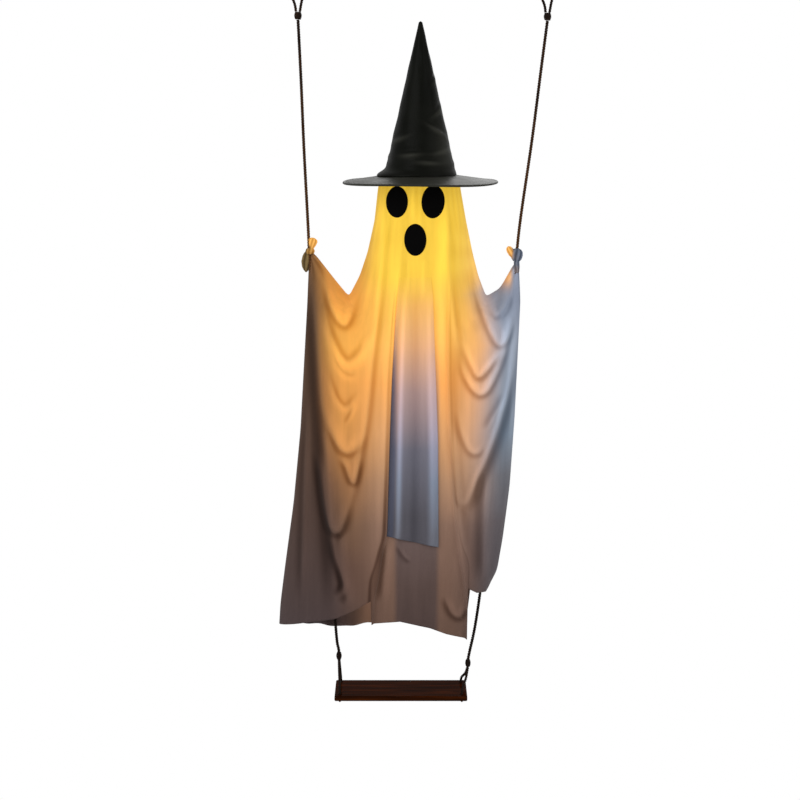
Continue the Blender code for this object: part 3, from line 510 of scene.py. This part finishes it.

# Centre panel: a narrow length of slate blue voile, sewn on under the chin so that it
# hangs free in the opening of the robe. Pleats run down it. Painted on it are the lamp's glow at its top, the left
# fold's shade along its left edge and a highlight on its first pleat.
PANEL_TOP = -0.655
PANEL_DROP = 0.6
PANEL_RIGHT = ((0.022, -0.655), (0.027, -0.710), (0.039, -1.028), (0.041, -1.280))
PANEL_HEM = ((0.0, -1.246), (0.15, -1.249), (1.0, -1.272))
PANEL_CLEAR = 0.0045
PANEL_OFF = 0.0008
PANEL_STAND = 0.0020
PANEL_FOLD = 0.0045
PANEL_SUNK = 0.0035
PANEL_LINES, PANEL_COLUMNS = 150, 48
# Painted light: the left ramp is darker for the left fold's shade; PANEL_LIT is the colour in the lamp's painted
# glow.
PANEL_TONES = (
    ((0.0, "#60637A"), (0.43, "#585C70"), (0.60, "#545768"), (0.76, "#484A58"), (1.0, "#444652")),
    ((0.0, "#B09A98"), (0.30, "#A58F95"), (0.45, "#87808C"), (0.60, "#6C6B76"), (0.72, "#55535A"), (1.0, "#4A4850")),
    ((0.0, "#B0A6B8"), (0.40, "#B8AAB8"), (0.54, "#9E9CB0"), (0.64, "#7E8799"), (0.76, "#676973"), (1.0, "#5C6470")))
PANEL_LIT = ((0.0, "#FCCE48"), (0.19, "#FCCE48"), (0.26, "#FABC62"), (0.35, "#F2B47A"), (0.45, "#D8A68C"),
             (1.0, "#B89A90"))
slate_voile = voile_cloth("slate_voile", PANEL_TONES, (PANEL_LIT,) * 3)


def in_front(x, z):
    """How far forward the sheet's surface is at x and z."""
    return laying.ray_cast(Vector((x, -1.0, z)), Vector((0.0, 1.0, 0.0)))[0].y


def sheet_tone(x, z):
    """The light and dark of the sheet's folds at one height, across x."""
    total = np.zeros(len(x))
    for fold in FOLDS:
        shading = fold_effect(1000 * x, np.full(len(x), 1000 * z), *fold)[1]
        total += np.where(shading > 0, shading, 0.25 * shading)
    return total


def panel_left(z):
    return np.interp(-z, *SMOOTH_LINES["left"]) + PANEL_CLEAR


panel_places, panel_painted_light = [], []
right_x, right_z = np.array(PANEL_RIGHT).T
for line in range(PANEL_LINES):
    down = line / (PANEL_LINES - 1)
    under = sheet_tone(np.linspace(panel_left(PANEL_TOP), right_x[0], PANEL_COLUMNS), PANEL_TOP - PANEL_DROP * down)
    for column in range(PANEL_COLUMNS):
        across = column / (PANEL_COLUMNS - 1)
        z = PANEL_TOP + (hem_z(PANEL_HEM, across) - PANEL_TOP) * down
        x = panel_left(z) + (np.interp(-z, -right_z, right_x) - panel_left(z)) * across
        free = ease((PANEL_TOP - z) / 0.12)
        fold = PANEL_FOLD * (0.5 - 0.5 * math.cos(2 * math.pi * (1.5 * across + 0.15)))
        sunk = PANEL_SUNK * (1.0 - ease((PANEL_TOP - z) / 0.018))
        panel_places.append((x, in_front(x, z) - PANEL_OFF + sunk - free * (PANEL_STAND + fold), z))
        # Painted light: the lamp's glow fades down the panel and under the left fold's shade, a highlight runs along
        # the first pleat, and the sheet's painted fold shade carries on near the top.
        lit = np.interp(-z, (0.655, 0.70, 0.82, 0.92, 1.05), (1.0, 1.0, 0.80, 0.4, 0.0))
        lit *= 1.0 - 0.85 * (1.0 - ease((across - 0.02) / 0.12)) * ease((-0.73 - z) / 0.20)
        from_side = 0.5 * ease((across - 0.09) / 0.07) + 0.5 * ease((across - 0.74) / 0.16)
        ridge = bell(across - 0.21, 0.055)
        tone = 0.5 * ridge - 0.25 * bell(across - 0.52, 0.10) + 0.25 * bell(across - 0.86, 0.06)
        panel_painted_light.append((lit, 0.5 + 0.5 * (tone * free + under[column] * (1.0 - free)),
                            from_side + 0.45 * ridge * free))
panel = mesh_object("centre_panel", panel_places, grid_faces(PANEL_LINES, PANEL_COLUMNS, False), slate_voile)
paint(panel.data, "painted_light", panel_painted_light)
thicken(panel, CLOTH)
dress(panel, "front_panel")

# Face patches: ovals cut from black felt and tacked flat on the sheet. Felt has no
# shine at all, only a fine tufted grain. Its fibres are about 0.02 mm, drawn as tufts
# of 0.6 mm so that they show.
felt, add, shader, place = new_material("wool_felt", Roughness=0.95, IOR=1.5, Specular_IOR_Level=0.05)
fibres = add("TexNoise", {"Vector": place, "Scale": 1600.0, "Detail": 4.0})
fill(shader, {"Base Color": add("ValToRGB", {"Fac": fibres}, ((0.3, "#020202"), (0.75, "#070606"))),
              "Normal": add("Bump", {"Height": fibres, "Distance": 0.0003, "Strength": 0.6})})
FELT, FELT_OFF = 0.0012, 0.0009
PATCH_RINGS, PATCH_SPOKES = 10, 56
# centre x and z, half width and half height, lean in degrees
PATCHES = (("left_eye", (-0.0515, -0.5045), (0.0237, 0.0340), 3.0),
           ("right_eye", (0.0270, -0.5035), (0.0252, 0.0360), 3.0),
           ("mouth", (-0.0117, -0.5855), (0.0241, 0.0346), 0.0))
for name, (centre_x, centre_z), (half_x, half_z), lean in PATCHES:
    lean = math.radians(lean)
    oval = [(centre_x, centre_z)]
    for ring in range(1, PATCH_RINGS + 1):
        for angle in around(PATCH_SPOKES):
            u = half_x * math.cos(angle) * ring / PATCH_RINGS
            v = half_z * math.sin(angle) * ring / PATCH_RINGS
            oval.append((centre_x + u * math.cos(lean) + v * math.sin(lean),
                         centre_z + v * math.cos(lean) - u * math.sin(lean)))
    patch_faces = [(0, 1 + k, 1 + (k + 1) % PATCH_SPOKES) for k in range(PATCH_SPOKES)]
    patch_faces += grid_faces(PATCH_RINGS, PATCH_SPOKES, True, first=1)
    patch = mesh_object(name + "_felt", [(x, in_front(x, z) - FELT_OFF, z) for x, z in oval], patch_faces, felt)
    thicken(patch, FELT)
    dress(patch, name)

# Hat: a cone and a flat ring of black satin, sewn together, with a wire in the rim.
# Satin is dark with a long soft shine. Its sheen is painted: lighter on the crests of its creases,
# on the front right of the cone and over the whole brim.
# A thread is 0.1 mm, drawn as bands of 0.75 mm so that they show.
satin, add, shader, place = new_material("polyester_satin", Roughness=0.42, IOR=1.5, Specular_IOR_Level=0.04)
threads = add("TexWave", {"Vector": place, "Scale": 420.0}, bands_direction="Z")
dye = add("TexNoise", {"Vector": place, "Scale": 14.0, "Detail": 3.0})
shade = add("ValToRGB", {"Fac": dye}, ((0.3, "#060704"), (0.75, "#0F100C")))
# A painted sheen, kept on each point, lightens the black towards grey.
sheen_mask = add("SeparateColor", {0: add("Attribute", attribute_name="painted_sheen")})
sheened = add("Mix", {0: sheen_mask, 6: shade, 7: linear("#4A4A43")}, data_type="RGBA")
fine = add("Bump", {"Height": threads.outputs["Fac"], "Distance": 0.0001, "Strength": 0.25})
crush = add("TexNoise", {"Vector": place, "Scale": 38.0, "Detail": 3.0})
fill(shader, {"Base Color": sheened.outputs[2],
              "Roughness": add("MapRange", {"Value": dye, "To Min": 0.36, "To Max": 0.55}),
              "Normal": add("Bump", {"Height": crush, "Distance": 0.0015, "Strength": 0.4, "Normal": fine})})

TIP_Z, BASE_Z, BRIM_Z = -0.118, -0.4510, -0.4498
BASE_R, TIP_R, TIP_ROUND = 0.0795, 0.0035, 0.0025
FLARE, FLARE_FACING = 0.017, 3.35
SATIN = 0.0012
CONE_LINES, CONE_COLUMNS = 150, 128
# Creases in the cone: facing in degrees (0 is right, -90 front), share of its height, height of fold, slant
CREASES = ((-35, 0.42, 0.0022, 0.5), (-52, 0.30, 0.0020, -0.6), (-20, 0.62, 0.0016, 0.4), (-110, 0.14, 0.0018, 0.1),
           (-75, 0.09, 0.0020, -0.1), (-45, 0.16, 0.0018, 0.2), (-140, 0.24, 0.0014, 0.4), (60, 0.3, 0.0018, 0.5),
           (120, 0.5, 0.0016, -0.5), (160, 0.12, 0.0018, 0.1))
towards, crease_at, crease_tall, slant = np.array(CREASES).T
cone_places, cone_sheen = [], []
for line in range(CONE_LINES):
    share = 1.0 - line / (CONE_LINES - 1)
    reach = TIP_R + (BASE_R - TIP_R) * (1.0 - share)
    reach += 0.0009 * math.sin(share * 95.0) * math.exp(-share * 9.0)
    free = min(share * 12.0, 1.0)
    narrow = min(1.0, reach / 0.02)
    for turn in around(CONE_COLUMNS):
        facing = math.degrees(turn)
        off = (facing - towards + 180.0) % 360.0 - 180.0
        sway = share - crease_at - slant * off / 360.0
        ridge = bell(sway, 0.018) - 0.6 * bell(sway - 0.03, 0.02)
        swell = sum(crease_tall * ridge * bell(off, 26.0))
        # Painted sheen on the front right of the cone and along the crests of its creases.
        sheen_mark = 0.30 * bell(facing - 325.0, 22.0) * bell(share - 0.16, 0.17)
        sheen_mark += sum(0.35 * np.maximum(0.0, ridge) * bell(off, 20.0))
        soft = 0.0012 * noise.noise(Vector((math.cos(turn) * 2.0, math.sin(turn) * 2.0, share * 9.0)))
        radius = reach + free * (swell + soft) * narrow
        radius += FLARE * bell(share, 0.035) * max(0.0, math.cos(turn - FLARE_FACING)) ** 2
        cone_sheen.append((sheen_mark * free * narrow, 0.0, 0.0))
        cone_places.append((radius * math.cos(turn), radius * math.sin(turn), BASE_Z + (TIP_Z - BASE_Z) * share))
cone_places.append((0.0, 0.0, TIP_Z + TIP_ROUND))
cone_sheen.append((0.0, 0.0, 0.0))
cone_faces = grid_faces(CONE_LINES, CONE_COLUMNS, True)
cone_faces += [(len(cone_places) - 1, k, (k + 1) % CONE_COLUMNS) for k in range(CONE_COLUMNS)]
cone = mesh_object("hat_cone", cone_places, cone_faces, satin)
paint(cone.data, "painted_sheen", cone_sheen)
thicken(cone, SATIN)
dress(cone, "hat_crown")

RIM_R, RIM_DROP = 0.170, 0.0145
RIM_WIRE, WIRE_DOWN, BRIM_THICK = 0.0022, 0.0012, 0.0024
BRIM_COLUMNS, BRIM_SHEEN = 160, 0.35
brim_top = [(0.078, 0.0), (0.095, 0.0), (0.115, 0.0), (0.135, 0.0), (0.150, 0.0), (0.160, 0.0), (0.1645, 0.0003),
            (0.1660, -0.0002), (0.1675, 0.0004)]
brim_rim = [(RIM_R + RIM_WIRE * math.cos(math.radians(a)), RIM_WIRE * math.sin(math.radians(a)) - WIRE_DOWN)
            for a in range(90, -91, -30)]
brim_lines = brim_top + brim_rim + [(reach, -BRIM_THICK - lift) for reach, lift in reversed(brim_top)]
brim_places = []
for reach, lift in brim_lines:
    fall = RIM_DROP * (reach - BASE_R) / (RIM_R - BASE_R)
    for turn in around(BRIM_COLUMNS):
        wave = 0.0016 * math.sin(3 * turn + 0.6) * max(0.0, (reach - 0.09) / 0.08)
        brim_places.append((reach * math.cos(turn), reach * math.sin(turn), BRIM_Z - fall + lift + wave))
brim_faces = grid_faces(len(brim_lines), BRIM_COLUMNS, True)
inner = BRIM_COLUMNS * (len(brim_lines) - 1)
brim_faces += [(inner + k, inner + (k + 1) % BRIM_COLUMNS, (k + 1) % BRIM_COLUMNS, k) for k in range(BRIM_COLUMNS)]
brim = mesh_object("hat_brim_satin", brim_places, brim_faces, satin)
# The whole brim is given the same painted sheen.
paint(brim.data, "painted_sheen", [(BRIM_SHEEN, 0.0, 0.0)] * len(brim_places))
dress(brim, "hat_brim")

# Swing ropes: three-strand jute, laid with a turn every 17 mm, with loose fibres.
# Jute is dull and golden brown; it is drawn darker, nearly black in patches, towards the top and the bottom of the
# ropes.
jute, add, shader, place = new_material("jute_rope", Roughness=0.95, IOR=1.5, Specular_IOR_Level=0.15)
fibres = add("TexNoise", {"Vector": place, "Scale": 420.0, "Detail": 4.0})
patchy = add("TexNoise", {"Vector": place, "Scale": 16.0, "Detail": 2.0})
fallen = add("MapRange", {"Value": add("SeparateXYZ", {0: place}).outputs["Z"], "From Min": -1.7, "From Max": 0.0})
# Darker towards the bottom and the top of the ropes, lightest between.
height = add("ValToRGB", {"Fac": fallen}, ((0.18, 0.95), (0.35, 0.35), (0.62, 0.15), (0.80, 0.5), (1.0, 0.8)))
darkening = add("Math", {0: patchy, 1: 0.6, 2: height}, operation="MULTIPLY_ADD")
colouring = add("MapRange", {"Value": darkening, "From Min": 0.3, "From Max": 1.0})
pale_jute = add("ValToRGB", {"Fac": fibres}, ((0.25, "#2C1A0D"), (0.75, "#7A4F2A")))
dark = add("ValToRGB", {"Fac": fibres}, ((0.25, "#0C0705"), (0.8, "#261810")))
fill(shader, {"Base Color": add("Mix", {0: colouring, 6: pale_jute, 7: dark}, data_type="RGBA").outputs[2],
              "Normal": add("Bump", {"Height": fibres, "Distance": 0.0006, "Strength": 0.7})})

ROPE_D, ROPE_LAY = 0.0068, 0.017
SLING_D, SLING_LAY = 0.0060, 0.016
LAY_STEPS, STRANDS, STRAND_CORNERS = 10, 3, 8
STRAND_OUT, STRAND_R = 0.265, 0.270
HAIRS, HAIR_W = 70.0, 0.00011
SEAT_W, SEAT_T, SEAT_X, SEAT_TOP = 0.302, 0.012, -0.043, -1.625
HOLE_Y, HOLE_IN = 0.048, 0.012
GAP = 0.0003
EYE_FOOT, EYE_WAIST, EYE_REACH, EYE_CROWN, EYE_X = 0.0042, 0.007, 0.0145, 0.012, 0.272
BINDING_TURNS, BINDING_CORNERS = 7, 16
ROUTES = (("left", -1.0, ((-0.268, -0.112), (-0.2624, -0.242), (-0.2569, -0.395), (-0.2493, -0.560),
                          (-0.2460, -0.640), (-0.2370, -0.760), (-0.2200, -1.020), (-0.1938, -1.459),
                          (-0.1850, -1.540))),
          ("right", 1.0, ((0.2774, -0.114), (0.2644, -0.221), (0.2462, -0.373), (0.2235, -0.538),
                          (0.2145, -0.625), (0.2075, -0.720), (0.1860, -0.980), (0.1356, -1.417),
                          (0.1110, -1.557))))


def even_points(points, step):
    """Points read at an even step from a smooth curve through the route's points, and its length."""
    route = [Vector(point) for point in points]
    route = [2 * route[0] - route[1]] + route + [2 * route[-1] - route[-2]]
    dense = []
    for a, b, c, d in zip(route, route[1:], route[2:], route[3:]):
        for k in range(24):
            t = k / 24
            dense.append(0.5 * (2 * b + (c - a) * t + (2 * a - 5 * b + 4 * c - d) * t ** 2
                                + (3 * b - a - 3 * c + d) * t ** 3))
    dense.append(route[-2])
    lengths = np.cumsum([0.0] + [(q - p).length for p, q in zip(dense, dense[1:])])
    wanted = np.linspace(0.0, lengths[-1], max(3, round(lengths[-1] / step) + 1))
    axes = [np.interp(wanted, lengths, [place[k] for place in dense]) for k in range(3)]
    return [Vector(point) for point in zip(*axes)], lengths[-1]


def heading(line, k):
    return (line[min(k + 1, len(line) - 1)] - line[max(k - 1, 0)]).normalized()


def ring_points(centre, out, up, radius, corners):
    return [centre + radius * (out * math.cos(angle) + up * math.sin(angle)) for angle in around(corners)]


def laid_rope(name, points, diameter, lay, seed):
    """Strands twisted round a centre line, with loose fibres standing out of them."""
    line, length = even_points(points, lay / LAY_STEPS)
    places, faces, frames = [], [], []
    side = Vector((0.0, 1.0, 0.0))
    for k, point in enumerate(line):
        ahead = heading(line, k)
        side = (side - ahead * side.dot(ahead)).normalized()
        frames.append((point, side.copy(), ahead.cross(side), ahead))
    for strand in range(STRANDS):
        first = len(places)
        for k, (point, u, v, ahead) in enumerate(frames):
            turn = 2 * math.pi * (strand / STRANDS + k / LAY_STEPS)
            centre = point + diameter * STRAND_OUT * (u * math.cos(turn) + v * math.sin(turn))
            places += ring_points(centre, u, v, diameter * STRAND_R, STRAND_CORNERS)
        faces += grid_faces(len(frames), STRAND_CORNERS, True, first)
        last = len(places) - STRAND_CORNERS
        faces += [tuple(range(first, first + STRAND_CORNERS)), tuple(range(last, len(places)))[::-1]]
    chance = random.Random(seed)
    for hair in range(int(HAIRS * length)):
        point, u, v, ahead = frames[chance.randrange(len(frames))]
        angle = chance.uniform(0, 2 * math.pi)
        out = u * math.cos(angle) + v * math.sin(angle)
        root = point + out * diameter * 0.44
        tip = root + out * chance.uniform(0.0003, 0.0009) + ahead * chance.uniform(-0.003, 0.003)
        middle = (root + tip) / 2 + out * 0.0004
        across = out.cross(ahead) * HAIR_W
        base = len(places)
        for foot in (root, middle):
            places += [foot - across, foot + across, foot - ahead * 2e-4]
        places.append(tip)
        faces.append((base, base + 1, base + 2))
        for k in range(3):
            after = (k + 1) % 3
            faces += [(base + k, base + after, base + 3 + after, base + 3 + k),
                      (base + 3 + k, base + 3 + after, base + 6)]
    return mesh_object(name, places, faces, jute), line, length


def binding(name, centre, radii, tall, twine):
    """Thin twine wound round a rope, over a core of the same twine."""
    def wound(share, low, swell, angle):
        width = low + swell * math.sin(math.pi * share)
        return centre + Vector((radii[0] * width * math.cos(angle), radii[1] * width * math.sin(angle),
                                tall * (0.5 - share)))

    steps = BINDING_TURNS * 20
    line = [wound(k / steps, 0.72, 0.28, 2 * math.pi * k / steps * BINDING_TURNS) for k in range(steps + 1)]
    places = []
    for k, point in enumerate(line):
        out = (point - centre - Vector((0.0, 0.0, point.z - centre.z))).normalized()
        places += ring_points(point, out, heading(line, k).cross(out), twine, STRAND_CORNERS)
    base, rings = len(places), 9
    faces = grid_faces(len(line), STRAND_CORNERS, True)
    faces += [tuple(range(STRAND_CORNERS))[::-1], tuple(range(base - STRAND_CORNERS, base))]
    for k in range(rings):
        places += [wound(k / (rings - 1), 0.62, 0.30, angle) for angle in around(BINDING_CORNERS)]
    faces += grid_faces(rings, BINDING_CORNERS, True, base)
    last = len(places) - BINDING_CORNERS
    faces += [tuple(range(base, base + BINDING_CORNERS)), tuple(range(last, len(places)))[::-1]]
    return mesh_object(name, places, faces, jute)


for side, way, route in ROUTES:
    (top_x, top_z), (foot_x, foot_z) = route[0], route[-1]
    rope, line, length = laid_rope("swing_rope_" + side, [(x, 0.0, z) for x, z in route], ROPE_D, ROPE_LAY, 11)
    knot = binding("eye_binding_" + side, Vector((top_x, 0.0, top_z + 0.0088)), (0.0075, 0.0052), 0.0158, 0.0011)
    crest, base, eye_x = -SLING_D / 2, top_z + 0.0176, way * EYE_X
    legs = ((top_x, EYE_FOOT, base - GAP), (top_x, EYE_WAIST, base + 0.016),
            ((top_x + eye_x) / 2, EYE_REACH, base + 0.045), (eye_x, EYE_CROWN, crest - 0.010))
    loop = [(x - half, 0.0, z) for x, half, z in legs] + [(eye_x, 0.0, crest)]
    loop += [(x + half, 0.0, z) for x, half, z in legs[::-1]]
    eye, eye_line, eye_length = laid_rope("rope_eye_" + side, loop, SLING_D, SLING_LAY, 12)
    foot = binding("sling_binding_" + side, Vector((foot_x, 0.0, foot_z - 0.0083)), (0.0055, 0.0075), 0.0150, 0.0010)
    leg_top = foot_z - 0.016 - 2 * GAP
    under = SEAT_TOP - SEAT_T - SLING_D / 2 - 4 * GAP
    hole_x = SEAT_X + way * (SEAT_W / 2 - HOLE_IN)
    leg = [(foot_x + (hole_x - foot_x) * lean, y, z) for y, z, lean in (
        (0.0045, leg_top + 2 * GAP, 0.0), (0.022, leg_top - 0.022, 0.35), (HOLE_Y - 0.004, SEAT_TOP + 0.012, 0.9),
        (HOLE_Y, SEAT_TOP - 0.002, 1.0), (HOLE_Y + 0.0006, SEAT_TOP - SEAT_T - 0.0005, 1.0),
        (HOLE_Y - 0.0045, under, 1.0))]
    track = [(x, -y, z) for x, y, z in leg] + [(hole_x, 0.0, under)] + leg[::-1]
    sling, sling_line, sling_length = laid_rope("seat_sling_" + side, track, SLING_D, SLING_LAY, 13)
    for piece, node in ((rope, "rope_"), (knot, "eye_knot_"), (eye, "eye_"), (foot, "sling_knot_"),
                        (sling, "sling_")):
        dress(piece, node + side)

# Hands: the sheet's corners, bunched and knotted round the ropes, with a tuft of cloth
# left over above each knot. The lamp's glow is painted on the tufts; the knots are thick and get little of it, so
# they stay dark.
# Painted light: brown shade on the left knot, cool blue-grey light on the right one, and the lamp's glow.
KNOT_LEFT = ((0.0, "#75623F"), (1.0, "#5A4830"))
KNOT_RIGHT = ((0.0, "#6C7688"), (1.0, "#5C6476"))
KNOT_LIT = ((0.0, "#F2B45C"), (1.0, "#E3A24E"))
knotted = voile_cloth("knotted_voile", (KNOT_LEFT, KNOT_LEFT, KNOT_RIGHT), (KNOT_LIT,) * 3)
BUNCH_RINGS, BUNCH_SPOKES = 33, 56
FUSE = 0.0006
# start, end, half widths along it, flatness front to back, pleats, twist, lamp light, shade, side
LEFT_HAND = (((-0.2455, 0.0, -0.6110), (-0.2445, 0.0, -0.6260), (0.0070, 0.0100, 0.0075), 0.9,
              6, 3.0, 0.15, 0.3, 0.0),
             ((-0.2445, 0.001, -0.6190), (-0.2375, 0.0, -0.5890), (0.0045, 0.0060, 0.0090, 0.0105, 0.0080), 0.7,
              7, 1.2, 0.95, 0.55, 0.0),
             ((-0.2515, 0.004, -0.6180), (-0.2545, 0.004, -0.6660), (0.0050, 0.0100, 0.0115, 0.0090, 0.0030), 0.65,
              5, 2.0, 0.0, 0.45, 0.0))
RIGHT_HAND = (((0.2155, 0.0, -0.6120), (0.2140, 0.0, -0.6440), (0.0070, 0.0120, 0.0125, 0.0105, 0.0050), 0.8,
               6, 3.0, 0.0, 0.42, 1.0),
              ((0.2100, 0.001, -0.6310), (0.1945, 0.0, -0.6085), (0.0065, 0.0080, 0.0075, 0.0045), 0.7,
               5, 1.0, 0.95, 0.55, 1.0),
              ((0.2140, -0.001, -0.6400), (0.2155, -0.001, -0.6680), (0.0065, 0.0062, 0.0045), 0.8,
               5, 1.0, 0.12, 0.40, 1.0))


def gathered(start, end, widths, flatness, pleats, twist):
    """Points of cloth bunched along a line, ring by ring, with pleats that wind round it."""
    start, end = Vector(start), Vector(end)
    over = (end - start).normalized().cross(Vector((0.0, 1.0, 0.0)))
    places = []
    for k in range(BUNCH_RINGS):
        share = k / (BUNCH_RINGS - 1)
        width = np.interp(share, np.linspace(0.0, 1.0, len(widths)), widths)
        width *= min(1.0, 0.45 + 6.0 * share * (1.0 - share))
        for angle in around(BUNCH_SPOKES):
            reach = width * (1.0 + 0.16 * math.cos(pleats * angle + twist * share) * (0.4 + 0.6 * share))
            places.append(start + (end - start) * share + over * reach * math.cos(angle)
                          + Vector((0.0, reach * flatness * math.sin(angle), 0.0)))
    return places


for side, forms in (("left", LEFT_HAND), ("right", RIGHT_HAND)):
    places, faces = [], []
    for form in forms:
        first = len(places)
        places += gathered(*form[:6])
        last = len(places) - BUNCH_SPOKES
        faces += grid_faces(BUNCH_RINGS, BUNCH_SPOKES, True, first)
        faces += [tuple(range(first, first + BUNCH_SPOKES))[::-1], tuple(range(last, len(places)))]
    hand = mesh_object("hand_knot_" + side, places, faces, knotted)
    fuse = hand.modifiers.new("fuse", "REMESH")
    fuse.voxel_size = FUSE
    fuse.use_smooth_shade = True
    hand.modifiers.new("calm", "SMOOTH").iterations = 2
    apply_modifiers(hand)
    # Each point takes the painted glow, shade and side of its nearest bunch, with painted light and dark along the
    # pleats.
    painted_light = []
    for vert in hand.data.vertices:
        weights, mixed = 0.0, np.zeros(3)
        for start, end, widths, flatness, pleats, twist, light, shade, tint in forms:
            line = Vector(end) - Vector(start)
            share = min(1.0, max(0.0, (vert.co - Vector(start)).dot(line) / line.length_squared))
            off = vert.co - Vector(start) - line * share
            angle = math.atan2(off.y / flatness, off.dot(line.normalized().cross(Vector((0.0, 1.0, 0.0)))))
            weight = 1.0 / max(off.length / max(widths), 0.1) ** 6
            pleat = 0.30 * math.cos(pleats * angle + twist * share)
            mixed += weight * np.array((light, shade + pleat, tint))
            weights += weight
        painted_light.append(mixed / weights)
    paint(hand.data, "painted_light", painted_light)
    dress(hand, "hand_" + side)


# Swing seat: a stained hardwood board with rounded edges, under gloss varnish, so it
# is dark red-brown with the grain along it. The varnish leaves a thin clear shine.
def finish(node, surface):
    """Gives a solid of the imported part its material."""
    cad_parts[node].data.materials.clear()
    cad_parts[node].data.materials.append(surface)


wood, add, shader, place = new_material("varnished_hardwood", Roughness=0.4, IOR=1.5, Specular_IOR_Level=0.0,
                                        Coat_Weight=0.03, Coat_Roughness=0.12)
along = add("Mapping", {"Vector": place, "Scale": (3.0, 42.0, 60.0)})
grain = add("TexNoise", {"Vector": along, "Scale": 2.2, "Detail": 6.0, "Distortion": 0.8})
colouring = add("ValToRGB", {"Fac": grain}, ((0.25, "#140601"), (0.5, "#2C1002"), (0.75, "#481E04")))
fill(shader, {"Base Color": colouring, "Normal": add("Bump", {"Height": grain, "Distance": 0.0003, "Strength": 0.4})})
finish("swing_seat", wood)

# Lamp: a small white battery case that hangs from a bar of the wire hoop, with a
# frosted dome under it. It lights the sheet from inside the head.
# Moulded ABS and frosted plastic have a fine grain that keeps their shine soft.
for node, name, scale, strength, values in (
        ("lamp_body", "moulded_abs", 900.0, 0.3, {"Base_Color": linear("#D8D5CC"), "Roughness": 0.45, "IOR": 1.53}),
        ("lamp_bulb", "frosted_dome", 1400.0, 0.4, {"Base_Color": linear("#FFD37A"), "Roughness": 0.6, "IOR": 1.5,
                                                    "Emission_Color": linear("#FFC14A"), "Emission_Strength": 6.0})):
    surface, add, shader, place = new_material(name, **values)
    grain = add("TexNoise", {"Vector": place, "Scale": scale})
    fill(shader, {"Normal": add("Bump", {"Height": grain, "Distance": 0.0001, "Strength": strength})})
    finish(node, surface)
# Zinc on drawn wire is bright, and dulled in streaks.
wire, add, shader, place = new_material("zinc_plated_wire", Base_Color=linear("#B9BABC"), Metallic=1.0,
                                        Roughness=0.35)
drawn = add("TexNoise", {"Vector": place, "Scale": 700.0})
fill(shader, {"Roughness": add("MapRange", {"Value": drawn, "To Min": 0.28, "To Max": 0.5})})
finish("head_hoop", wire)


# Floor and light: a plain white floor well under the seat, a broad soft lamp from the
# front left, weaker ones from the right and from behind, and an even white surround.
def seen_directly(add):
    """1 for the rays that show the background itself, in view, in a gloss or through glass."""
    rays = add("LightPath")
    seen = rays.outputs["Is Camera Ray"]
    for kind in ("Is Glossy Ray", "Is Transmission Ray"):
        seen = add("Math", {0: seen, 1: rays.outputs[kind]}, operation="MAXIMUM")
    return seen


FLOOR_Z, FLOOR_HALF = -2.15, 9.0
paper, add, shader, place = new_material("white_paper", Base_Color=(0.9, 0.9, 0.9, 1.0), Roughness=0.9)
bright = add("Emission", {"Color": (1.0, 1.0, 1.0, 1.0), "Strength": 1.0})
white = add("MixShader", {0: seen_directly(add), 1: shader, 2: bright})
fill(paper.node_tree.nodes["Material Output"], {"Surface": white})
steps = np.linspace(-FLOOR_HALF, FLOOR_HALF, 5)
floor = mesh_object("floor", [(x, y, 0.0) for y in steps for x in steps], grid_faces(5, 5, False), paper)
floor.location = (0.0, 0.0, FLOOR_Z)

surround = bpy.data.worlds.new("surround")
bpy.context.scene.world = surround
surround.use_nodes = True
add = partial(add_node, surround.node_tree)
fill(surround.node_tree.nodes["Background"], {
    "Color": (1.0, 1.0, 1.0, 1.0),
    "Strength": add("MapRange", {"Value": seen_directly(add), "To Min": 0.45, "To Max": 1.0})})
LIT_POINT = Vector((0.0, 0.0, -0.9))
for name, spot, power, size in (("key", (-2.2, -3.0, 1.0), 70.0, 2.2), ("fill", (2.6, -2.4, 0.2), 30.0, 2.0),
                                ("back", (0.6, 2.6, 0.8), 30.0, 2.0)):
    light = bpy.data.lights.new(name, "AREA")
    light.energy = power
    light.size = size
    lamp = put_in_scene(name, light)
    lamp.location = spot
    lamp.rotation_euler = (LIT_POINT - Vector(spot)).to_track_quat("-Z", "Y").to_euler()

bpy.context.scene.view_settings.view_transform = "Standard"
